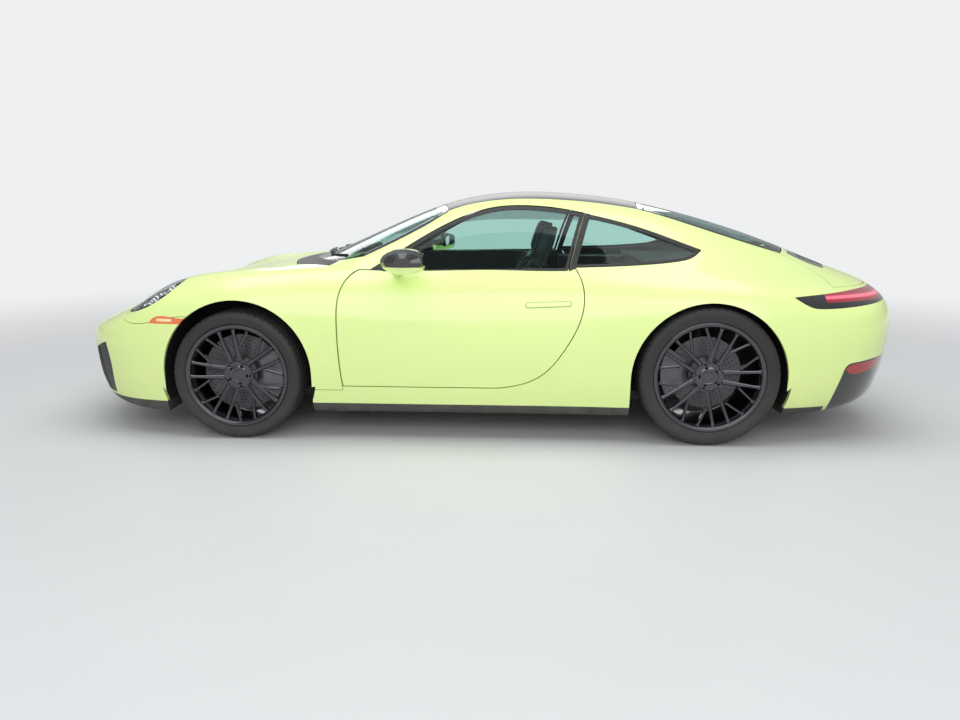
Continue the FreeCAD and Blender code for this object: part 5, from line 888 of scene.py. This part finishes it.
def lamp_unit(u, v):
    """Bezel and lens turned about a line through (u, v) square to the skin."""
    angle = full_turn(UNIT_SIDES)

    def turned(radii, lifts, number):
        radii, lifts = np.array(radii)[:, None], np.array(lifts)[:, None]
        points = lamp_skin(u + radii * np.cos(angle), v + radii * np.sin(angle), lifts)
        return points, grid_faces(len(radii), UNIT_SIDES, wrap_columns=True), number

    r = UNIT_RADIUS
    bezel = turned([0.72 * r, 0.80 * r, 0.92 * r, r, r, 0.72 * r, 0.72 * r],
                   [-0.030, -0.017, -0.014, -0.018, -0.056, -0.056, -0.030], 2)
    turns = np.linspace(0.0, 1.0, 8)
    lens = turned(np.concatenate([0.74 * r * np.sin(turns * np.pi / 2), [0.0]]),
                  np.concatenate([-0.030 + 0.010 * np.cos(turns * np.pi / 2), [-0.034]]), 3)
    return [bezel, lens]


LAMP_CLEAR = tinted_glass("lamp_clear", (0.90, 0.92, 0.93, 1.0))
LAMP_BOWL = grained("lamp_bowl", (0.045, 0.048, 0.052, 1), (0.03, 0.032, 0.036, 1), 0.35,
                    700.0, 0.1, metallic=0.7)
LAMP_BRIGHT = grained("lamp_bright", (0.42, 0.43, 0.45, 1), (0.36, 0.37, 0.39, 1), 0.22, 700.0,
                      0.02, metallic=1.0)
LAMP_LENS = grained("lamp_lens", (0.42, 0.46, 0.50, 1), (0.34, 0.38, 0.42, 1), 0.08, 300.0, 0.02,
                    metallic=0.4, coat=1.0)
units = [part for place in LAMP_UNITS for part in lamp_unit(*place)]
lamp_covers = make_object("headlamp_covers", both([cover]), [LAMP_CLEAR])
lamp_inside = make_object("headlamp_insides", both([bowl, seal] + units),
                          [LAMP_BOWL, SEAL_RUBBER, LAMP_BRIGHT, LAMP_LENS], 50)
for piece in (lamp_covers, lamp_inside):
    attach(piece, "body")
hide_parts("headlamps")


# Tail lamps: one moulded lens across the tail, smoked at its front tips, lit red behind them,
# and dark below a line; side markers are amber with a pale window, reflectors plain red.
SMOKE_END_X, LAMP_LINE_Z, BLEND_X, BLEND_Z = 1.765, 0.741, 0.004, 0.0015
GLOW_FOOT, GLOW_HEAD = (0.752, 0.760), (0.764, 0.773)
LENS_RED, LENS_PINK = (0.30, 0.004, 0.02, 1), (0.75, 0.10, 0.16, 1)
LENS_SMOKE, LENS_DARK, UNLIT = (0.018, 0.018, 0.017, 1), (0.014, 0.014, 0.014, 1), (0, 0, 0, 1)
LIGHT_RED, LIGHT_PINK, LIGHT_STRENGTH = (0.10, 0.0, 0.006, 1), (0.85, 0.14, 0.22, 1), 0.7
AMBER, AMBER_PALE = (0.83, 0.20, 0.06, 1), (0.95, 0.80, 0.45, 1)
MARKER_X, MARKER_X_END = (-1.685, -1.675), (-1.600, -1.590)
MARKER_Z, MARKER_Z_END = (0.622, 0.626), (0.636, 0.640)


def place_parts(tree):
    """The piece's own coordinates as separate x, y and z."""
    return add_node(tree, "SeparateXYZ", {0: own_place(tree)}).outputs


def ramp_between(tree, value, low, high, start=0.0, end=1.0):
    """Smooth step from start to end while the value goes from low to high."""
    return add_node(tree, "MapRange", {"Value": value, "From Min": low, "From Max": high,
                                       "To Min": start, "To Max": end},
                    interpolation_type="SMOOTHSTEP").outputs["Result"]


def tail_lens():
    """Red where z is above the line and x behind the smoked tip; a bright line glows along it."""
    material, tree, shader = new_material("tail_lens")
    x, y, z = place_parts(tree)
    above = ramp_between(tree, z, LAMP_LINE_Z - BLEND_Z, LAMP_LINE_Z + BLEND_Z)
    behind = ramp_between(tree, x, SMOKE_END_X - BLEND_X, SMOKE_END_X + BLEND_X)
    glow = maths(tree, "MULTIPLY", ramp_between(tree, z, *GLOW_FOOT),
                 ramp_between(tree, z, *GLOW_HEAD, 1.0, 0.0))
    colour = mixed(tree, above, LENS_DARK, mixed(tree, glow, LENS_RED, LENS_PINK))
    light = mixed(tree, above, UNLIT, mixed(tree, glow, LIGHT_RED, LIGHT_PINK))
    put(tree, shader, {"Base Color": mixed(tree, behind, LENS_SMOKE, colour), "Roughness": 0.08,
                       "Coat Weight": 1.0, "Emission Strength": LIGHT_STRENGTH,
                       "Emission Color": mixed(tree, behind, UNLIT, light)})
    return material


def marker_lens():
    """Amber with a pale long window in the middle, which fades at its four edges."""
    material, tree, shader = new_material("marker_lens")
    x, y, z = place_parts(tree)
    long_way = maths(tree, "MULTIPLY", ramp_between(tree, x, *MARKER_X),
                     ramp_between(tree, x, *MARKER_X_END, 1.0, 0.0))
    high = maths(tree, "MULTIPLY", ramp_between(tree, z, *MARKER_Z),
                 ramp_between(tree, z, *MARKER_Z_END, 1.0, 0.0))
    window = maths(tree, "MULTIPLY", long_way, high)
    put(tree, shader, {"Base Color": mixed(tree, window, AMBER, AMBER_PALE), "Roughness": 0.1,
                       "Coat Weight": 1.0})
    return material


finish(["tail_lamps"], tail_lens())
finish(["side_markers"], marker_lens())
finish(["rear_reflectors"], grained("red_reflector", (0.42, 0.008, 0.012, 1),
                                    (0.33, 0.006, 0.01, 1), 0.12, 500.0, 0.3, coat=1.0))


# Door mirrors: a gloss black cap over a base in the body colour, parted by a thin dark seam.
MIRROR_LINE_Z, SEAM_NEAR, SEAM_FAR = 0.922, 0.001, 0.0018
MIRROR_BLACK, SEAM_BLACK = (0.018, 0.018, 0.019, 1), (0.01, 0.01, 0.01, 1)


def mirror_shell_finish():
    """Black above the line, body colour below it, and the seam between them."""
    material, tree, shader = new_material("mirror_shell")
    x, y, z = place_parts(tree)
    cap = ramp_between(tree, z, MIRROR_LINE_Z + SEAM_NEAR, MIRROR_LINE_Z + SEAM_FAR)
    seam = ramp_between(tree, z, MIRROR_LINE_Z - SEAM_FAR, MIRROR_LINE_Z - SEAM_NEAR)
    base = mixed(tree, seam, PAINT_COLOUR, SEAM_BLACK)
    put(tree, shader, {"Base Color": mixed(tree, cap, base, MIRROR_BLACK), "Roughness": 0.25,
                       "Coat Weight": 1.0})
    return material


MIRROR_FACE = grained("mirror_face", (0.85, 0.87, 0.88, 1), (0.83, 0.85, 0.86, 1), 0.03, 900.0,
                      0.0, metallic=1.0)
finish(["mirror_left", "mirror_right"], mirror_shell_finish())
finish(["mirror_glass_left", "mirror_glass_right"], MIRROR_FACE)


# Door handles: painted plates almost flush in the door skin, with a dark gap all round, drawn as a
# black sheet of painted shade under each plate.
HANDLE_START, HANDLE_END, HANDLE_HALF, HANDLE_GAP = (0.243, 0.7215), (0.476, 0.7305), 0.0125, 0.0017
HANDLE_RISE, GAP_RISE, HANDLE_FOOT = 0.0030, 0.0004, -0.002
DOOR_SPOT, SPOT_REACH, SKIN_OUT = (0.3, 0.70), (0.30, 0.20), 0.80


def near_handle(local):
    """Places on the door's outer skin round the handle."""
    away = np.abs(local[:, :2] - DOOR_SPOT)
    return (local[:, 2] > SKIN_OUT) & (away < SPOT_REACH).all(1)


def pill(surface, start, end, half, foot, top, columns=72):
    """Long plate with round ends: offset of the line start-end by half, domed to its middle."""
    (x0, z0), (x1, z1) = start, end
    turn = full_turn(columns)
    share = np.array([0.0, 0.5, 0.85, 0.97, 1.0, 1.0, 0.0])[:, None]
    lift = np.array([top, top, top * 0.9, top * 0.45, 0.0, foot, foot])[:, None]
    rear = np.cos(turn) > 0
    middle_x, middle_z = (x0 + x1) / 2, (z0 + z1) / 2
    spread = np.minimum(share * 1.6, 1)
    x = middle_x + (np.where(rear, x1, x0) - middle_x) * spread + share * half * np.cos(turn)
    z = middle_z + (np.where(rear, z1, z0) - middle_z) * spread + share * half * np.sin(turn)
    return surface(x, z, lift + 0 * x), grid_faces(7, columns, wrap_columns=True)


door_skin = fitted_surface(["door_left"], (0, 0, 0), SIDE_AXES, near_handle, 3)
handle_ends = ((HANDLE_START[0] + HANDLE_HALF, HANDLE_START[1]),
               (HANDLE_END[0] - HANDLE_HALF, HANDLE_END[1]))
# Painted shade: a black sheet a little larger than the plate stands for the shadowed gap round it.
handle_gap_shade = pill(door_skin, *handle_ends, HANDLE_HALF + HANDLE_GAP, HANDLE_FOOT, GAP_RISE) + (1,)
handle_plate = pill(door_skin, *handle_ends, HANDLE_HALF, HANDLE_FOOT, HANDLE_RISE) + (0,)
for side_name, turn in SIDES:
    handle = make_object("door_handle_" + side_name, turn([handle_gap_shade, handle_plate]),
                         [LIME_PAINT, SEAL_RUBBER], 50)
    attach(handle, "door_" + side_name)


# Exhaust and engine: bright steel tips whose bores are dark with soot, and one cast block.
TIP_Y, TIP_Z, SOOT_REACH, CLEAN_REACH = 0.118, 0.262, 0.0434, 0.0446
TIP_STEEL, SOOT = (0.50, 0.50, 0.51, 1), (0.02, 0.02, 0.02, 1)


def exhaust_steel():
    """Polished steel outside; soot darkens what lies nearer the tip's axis than its wall."""
    material, tree, shader = new_material("exhaust_steel")
    x, y, z = place_parts(tree)
    sideways = maths(tree, "SUBTRACT", maths(tree, "ABSOLUTE", y), TIP_Y)
    up = maths(tree, "SUBTRACT", z, TIP_Z)
    reach = maths(tree, "ADD", maths(tree, "MULTIPLY", sideways, sideways),
                  maths(tree, "MULTIPLY", up, up))
    soot = ramp_between(tree, reach, SOOT_REACH ** 2, CLEAN_REACH ** 2, 1.0, 0.0)
    put(tree, shader, {"Base Color": mixed(tree, soot, TIP_STEEL, SOOT), "Metallic": 1.0,
                       "Roughness": 0.22})
    return material


finish(["exhaust"], exhaust_steel())
finish(["engine"], CAST_ALLOY)


# Seats: foam pads in black leather, sewn from panels over a hard plastic back shell. Each pad
# is a rounded form blown up a little as cloth; channels and seams are pressed in afterwards.
SEAT_Y, SEAT_LEAN, REAR_SEAT_Y = 0.370, math.radians(17.0), 0.265
LEAN_FOOT = np.array([0.190, 0.0, 0.300])
PUFF_VOXEL, PUFF_PRESSURE, PUFF_FRAMES, PUFF_LIMIT = 0.010, 4.0, 16, 0.007
SEAM_PITCH, REAR_SEAM_PITCH, SEAM_WIDTH = 0.075, 0.085, 0.006
SEAM_DEPTH, REAR_SEAM_DEPTH, SEAM_START_X = 0.005, 0.004, -0.10
CELL_SCALE, CELL_STRENGTH, CELL_HEIGHT = 420.0, 0.5, 0.0006
SEWN_HALF, REAR_SEWN_HALF, SEWN_REAR_X, SEWN_TOP_Z, SEWN_BACK_TOP_Z = 0.125, 0.13, 0.10, 0.48, 0.86
CUSHION_PADS = (((-0.105, 0.0, 0.362), (0.218, 0.160, 0.055)),
                ((-0.085, 0.200, 0.377), (0.210, 0.044, 0.072)),
                ((-0.085, -0.200, 0.377), (0.210, 0.044, 0.072)))
BACK_PADS = (((0.124, 0.0, 0.640), (0.046, 0.160, 0.270)),
             ((0.104, 0.198, 0.630), (0.062, 0.044, 0.262)),
             ((0.104, -0.198, 0.630), (0.062, 0.044, 0.262)),
             ((0.140, 0.0, 0.905), (0.036, 0.110, 0.090)),
             ((0.133, 0.0, 1.030), (0.046, 0.118, 0.100)))
BACK_SHELLS = (((0.170, 0.0, 0.620), (0.020, 0.236, 0.300)),
               ((0.166, 0.0, 0.985), (0.012, 0.122, 0.140)))
BASE_SHELLS = (((-0.070, 0.0, 0.300), (0.235, 0.235, 0.040)),
               ((-0.070, 0.0, 0.245), (0.200, 0.180, 0.045)))
REAR_PADS = (((0.672, REAR_SEAT_Y, 0.436), (0.150, 0.162, 0.037)),
             ((0.812, REAR_SEAT_Y, 0.640), (0.056, 0.162, 0.195)))


def pillow(middle, half, power=0.42, rows=26, columns=52):
    """Closed rounded block: latitude t and longitude s give the place
    middle + half * (S(t) S(s), S(t) C(s), C(t)), where S and C are sine and cosine raised to
    the power with their sign kept; a small power makes it more like a box."""
    t = np.linspace(0.0, np.pi, rows)[:, None]
    s = full_turn(columns)

    def raised(value):
        return np.sign(value) * np.abs(value) ** power

    shape = np.stack(np.broadcast_arrays(raised(np.sin(t)) * raised(np.sin(s)),
                                         raised(np.sin(t)) * raised(np.cos(s)),
                                         raised(np.cos(t)) + 0 * s), axis=-1)
    return np.array(middle) + shape * np.array(half), grid_faces(rows, columns, wrap_columns=True)


def leaned(points):
    """Points turned back about the seat's hinge line."""
    x, y, z = np.moveaxis(points - LEAN_FOOT, -1, 0)
    return LEAN_FOOT + np.stack([x * math.cos(SEAT_LEAN) + z * math.sin(SEAT_LEAN), y,
                                 z * math.cos(SEAT_LEAN) - x * math.sin(SEAT_LEAN)], axis=-1)


def seat_parts(forms, lean, power=0.42):
    """Rounded blocks of the left seat, leaned back with the backrest where asked."""
    made = [pillow(middle, half, power) for middle, half in forms]
    return [((leaned(points) if lean else points) + (0, -SEAT_Y, 0), faces, 0)
            for points, faces in made]


def puffed(piece):
    """Blows a closed mesh up as cloth and applies the result, each point moved at most
    the limit."""
    remesh = piece.modifiers.new("even", "REMESH")
    remesh.mode, remesh.voxel_size, remesh.use_smooth_shade = "VOXEL", PUFF_VOXEL, True
    depsgraph = bpy.context.evaluated_depsgraph_get()
    even = bpy.data.meshes.new_from_object(piece.evaluated_get(depsgraph))
    piece.modifiers.clear()
    materials = list(piece.data.materials)
    piece.data = even
    even.materials.clear()
    for material in materials:
        even.materials.append(material)
    before = mesh_array(even.vertices, "co")
    cloth = piece.modifiers.new("puff", "CLOTH")
    cloth.settings.use_pressure = True
    cloth.settings.uniform_pressure_force = PUFF_PRESSURE
    cloth.settings.effector_weights.gravity = 0.0
    cloth.point_cache.frame_start, cloth.point_cache.frame_end = 1, PUFF_FRAMES
    for number in range(1, PUFF_FRAMES + 1):
        bpy.context.scene.frame_set(number)
    depsgraph = bpy.context.evaluated_depsgraph_get()
    blown = bpy.data.meshes.new_from_object(piece.evaluated_get(depsgraph))
    moved = mesh_array(blown.vertices, "co") - before
    piece.modifiers.clear()
    bpy.context.scene.frame_set(1)
    far = np.linalg.norm(moved, axis=1, keepdims=True)
    moved *= np.minimum(1.0, PUFF_LIMIT / np.maximum(far, 1e-9))
    even.vertices.foreach_set("co", (before + moved).ravel())
    even.update()


def sewn(piece, depth_at):
    """Presses seams in: each point sinks along its normal by the depth at its place."""
    points = mesh_array(piece.data.vertices, "co")
    normals = mesh_array(piece.data.vertices, "normal")
    sunk = points - normals * depth_at(points)[:, None]
    piece.data.vertices.foreach_set("co", sunk.ravel())
    piece.data.update()


def channels(value, pitch, depth):
    """Depth of evenly spaced grooves: a bell curve round each whole number of pitches."""
    away = (value / pitch + 0.5) % 1.0 - 0.5
    return depth * np.exp(-(away * pitch / SEAM_WIDTH) ** 2)


def cushion_seams(points):
    """Grooves across the middle panel of the seat's top."""
    x, y, z = points.T
    panel = (np.abs(y + SEAT_Y) < SEWN_HALF) & (x < SEWN_REAR_X) & (z < SEWN_TOP_Z)
    return channels(x - SEAM_START_X, SEAM_PITCH, SEAM_DEPTH) * panel


def back_seams(points):
    """Grooves across the middle panel of the backrest, at even steps along its lean."""
    height = points[:, 2] * math.cos(SEAT_LEAN) + points[:, 0] * math.sin(SEAT_LEAN)
    panel = (np.abs(points[:, 1] + SEAT_Y) < SEWN_HALF) & (points[:, 2] < SEWN_BACK_TOP_Z)
    return channels(height, SEAM_PITCH, SEAM_DEPTH) * panel


def rear_seams(points):
    """Grooves along the rear pads."""
    sideways = np.abs(points[:, 1]) - REAR_SEAT_Y
    panel = np.abs(sideways) < REAR_SEWN_HALF
    return channels(sideways, REAR_SEAM_PITCH, REAR_SEAM_DEPTH) * panel


def leather(name, colour, shade):
    """Leather: the grain is small cells, raised in their middles, in place of even noise."""
    material = grained(name, colour, shade, 0.48, 900.0, 0.35, specular=0.4)
    tree = material.node_tree
    cells = add_node(tree, "TexVoronoi", {"Vector": own_place(tree), "Scale": CELL_SCALE},
                     feature="DISTANCE_TO_EDGE")
    bump = add_node(tree, "Bump", {"Height": cells.outputs["Distance"],
                                   "Strength": CELL_STRENGTH, "Distance": CELL_HEIGHT})
    put(tree, tree.nodes["Principled BSDF"], {"Normal": bump.outputs["Normal"]})
    return material


def seat_piece(name, parts, seams):
    """Pads of one left seat, puffed and sewn, and the same mesh turned over for the right."""
    left = make_object(name + "_left", parts, [LEATHER])
    puffed(left)
    sewn(left, seams)
    mesh = left.data.copy()
    mesh.transform(Matrix.Scale(-1, 4, (0, 1, 0)))
    mesh.flip_normals()
    right = bpy.data.objects.new(name + "_right", mesh)
    bpy.context.scene.collection.objects.link(right)
    for piece in (left, right):
        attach(piece, "body")


LEATHER = leather("black_leather", (0.020, 0.020, 0.021, 1), (0.032, 0.032, 0.033, 1))
SHELL_PLASTIC = grained("shell_plastic", (0.012, 0.012, 0.013, 1), (0.02, 0.02, 0.021, 1), 0.35,
                        1400.0, 0.3)
seat_piece("seat_cushion", seat_parts(CUSHION_PADS, False), cushion_seams)
seat_piece("seat_back", seat_parts(BACK_PADS, True), back_seams)
shells = seat_parts(BACK_SHELLS, True, 0.3) + seat_parts(BASE_SHELLS, False, 0.3)
seat_shells = make_object("seat_shells", both(shells), [SHELL_PLASTIC])
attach(seat_shells, "body")
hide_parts("front_seats")
rear_pads = make_object("rear_seat_pads", both(one_finish([pillow(*pad) for pad in REAR_PADS])),
                        [LEATHER])
puffed(rear_pads)
sewn(rear_pads, rear_seams)
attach(rear_pads, "body")
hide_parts("rear_seats")


# Steering wheel: leather rim over steel, three spokes and a plain soft hub; it turns on the
# column, so all of it is made about the column's own line.
WHEEL_HUB, WHEEL_TILT = np.array([-0.330, -0.370, 0.790]), math.radians(22.0)
RING_RADIUS, RING_THICK, RING_FLATTER, RING_SIDES, GIRTH_SIDES = 0.168, 0.0150, 0.95, 120, 20
ARMS = ((0.0, 0.036), (math.pi, 0.036), (-math.pi / 2, 0.040))
ARM_START, ARM_END, ARM_HALF_THICK, ARM_WAIST, ARM_WAIST_LENGTH = 0.045, 0.164, 0.006, 0.25, 0.12
ARM_STEPS, ARM_SIDES = 10, 12


def column_place(across, up, along):
    """Point from distances across the car, up the wheel's face and along the column."""
    across, up, along = np.broadcast_arrays(across, up, along)
    x = along * math.cos(WHEEL_TILT) - up * math.sin(WHEEL_TILT)
    z = along * math.sin(WHEEL_TILT) + up * math.cos(WHEEL_TILT)
    return WHEEL_HUB + np.stack([x, across, z], axis=-1)


def ring_part():
    """Rim: a circle carried round the wheel's middle, a little thinner towards it."""
    turn = full_turn(RING_SIDES).T
    girth = full_turn(GIRTH_SIDES)
    reach = RING_RADIUS + RING_THICK * RING_FLATTER * np.cos(girth)
    points = column_place(reach * np.cos(turn), reach * np.sin(turn), RING_THICK * np.sin(girth))
    return points, grid_faces(RING_SIDES, GIRTH_SIDES, wrap_rows=True, wrap_columns=True), 0


def boss_part():
    """Soft hub over the spokes, with nothing on it."""
    points, faces = pillow((0.008, 0, -0.002), (0.012, 0.062, 0.056), 0.6)
    return column_place(points[..., 1], points[..., 2], points[..., 0]), faces, 0


def arm_part(angle, width):
    """Flat oval bar from the hub to the rim, narrowed in its middle by half a sine wave."""
    t = np.linspace(ARM_START, ARM_END, ARM_STEPS)[:, None]
    corner = full_turn(ARM_SIDES)
    narrower = 1 - ARM_WAIST * np.sin((t - ARM_START) / ARM_WAIST_LENGTH * np.pi)
    sideways = width / 2 * narrower * np.cos(corner)
    across = t * math.cos(angle) - sideways * math.sin(angle)
    up = t * math.sin(angle) + sideways * math.cos(angle)
    return loft(column_place(across, up, ARM_HALF_THICK * np.sin(corner))) + (1,)


steering = make_object("steering_wheel_leather",
                       [ring_part(), boss_part()] + [arm_part(*arm) for arm in ARMS],
                       [LEATHER, CAST_ALLOY], 50)
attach(steering, "steering_wheel")
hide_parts("steering_wheel")


# Cabin trim: soft black dashboard, a gloss strip with plain round dials, the rear shelf
# carpet over the engine bay, and the driving mirror on the windscreen.
DIAL_PLACES = ((-0.515, 0.030), (-0.440, 0.036), (-0.355, 0.044), (-0.270, 0.036), (-0.195, 0.030))
DIAL_Z, DIAL_X, DIAL_RISE, DIAL_LINE, DIAL_SIDES = 0.852, -0.4985, 0.002, 0.003, 48
SHELF_BLOCK = ((1.262, 0.0, 0.880), (0.385, 0.600, 0.008), 0.15)
MIRROR_BODY = ((-0.246, 0.0, 1.000), (0.014, 0.118, 0.034), 0.5)
MIRROR_FOOT = ((-0.262, 0.0, 1.040), (0.012, 0.012, 0.034), 0.7)
MIRROR_PANE = ((-0.2335, 0.0, 1.000), (0.002, 0.108, 0.027), 0.4)
DIAL_BLOCK = ((-0.5005, -0.355, DIAL_Z), (0.0030, 0.215, 0.052), 0.35)


def dial_ring(y, radius):
    """Thin ring standing on the dial strip, facing rearwards."""
    angle = full_turn(DIAL_SIDES)
    radii = np.array([radius, radius, radius - DIAL_LINE, radius - DIAL_LINE])[:, None]
    x = np.array([DIAL_X, DIAL_X + DIAL_RISE, DIAL_X + DIAL_RISE, DIAL_X])[:, None]
    points = np.stack(np.broadcast_arrays(x, y + radii * np.cos(angle),
                                          DIAL_Z + radii * np.sin(angle)), axis=-1)
    return points, grid_faces(4, DIAL_SIDES, wrap_rows=True, wrap_columns=True), 1


CARPET = grained("black_carpet", (0.014, 0.014, 0.014, 1), (0.028, 0.028, 0.028, 1), 0.95, 380.0,
                 1.0)
DIAL_PALE = grained("dial_white", (0.75, 0.75, 0.74, 1), (0.7, 0.7, 0.69, 1), 0.5, 900.0, 0.05)
finish(["dashboard"], CABIN_BLACK)
rear_shelf = make_object("rear_shelf_carpet", [pillow(*SHELF_BLOCK) + (0,)], [CARPET])
mirror_parts = [pillow(*MIRROR_BODY) + (0,), pillow(*MIRROR_FOOT) + (0,),
                pillow(*MIRROR_PANE) + (1,)]
cabin_mirror = make_object("driving_mirror", mirror_parts, [SHELL_PLASTIC, MIRROR_FACE])
for piece in (rear_shelf, cabin_mirror):
    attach(piece, "body")
dial_parts = [pillow(*DIAL_BLOCK) + (0,)] + [dial_ring(*place) for place in DIAL_PLACES]
dials = make_object("dial_strip", dial_parts, [PIANO_BLACK, DIAL_PALE], 50)
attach(dials, "body")


# Wipers: two black arms parked on the foot of the windscreen, their blades along the glass.
WIPER_BACK, BLADE_WIDTH, ARM_FIRST = 0.075, 0.008, 12
BLADE_FOOT, BLADE_TOP, ARM_TOP, WIPER_ARM_FOOT = 0.001, 0.010, 0.019, 0.012
ARM_FRONT, ARM_REAR, WIPER_SPANS = 0.004, 0.012, ((-0.60, -0.02), (0.04, 0.58))


def wiper(y_start, y_end):
    """Blade along the foot of the glass at a set distance behind it, and its arm above."""
    foot = mirrored_line(SCREEN_FOOT, 200)
    y = np.linspace(y_start, y_end, 40)
    line = np.stack([np.interp(y, foot[:, 1], foot[:, 0]) + WIPER_BACK, y], axis=1)
    blade = band(screen, line, line + (BLADE_WIDTH, 0.0), BLADE_FOOT, BLADE_TOP)
    arm = line[ARM_FIRST:]
    return one_finish([blade, band(screen, arm - (ARM_FRONT, 0.0), arm + (ARM_REAR, 0.0),
                                   WIPER_ARM_FOOT, ARM_TOP)])


wiper_parts = [part for span in WIPER_SPANS for part in wiper(*span)]
wipers = make_object("wipers", wiper_parts, [BLACK_TRIM], 40)
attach(wipers, "body")
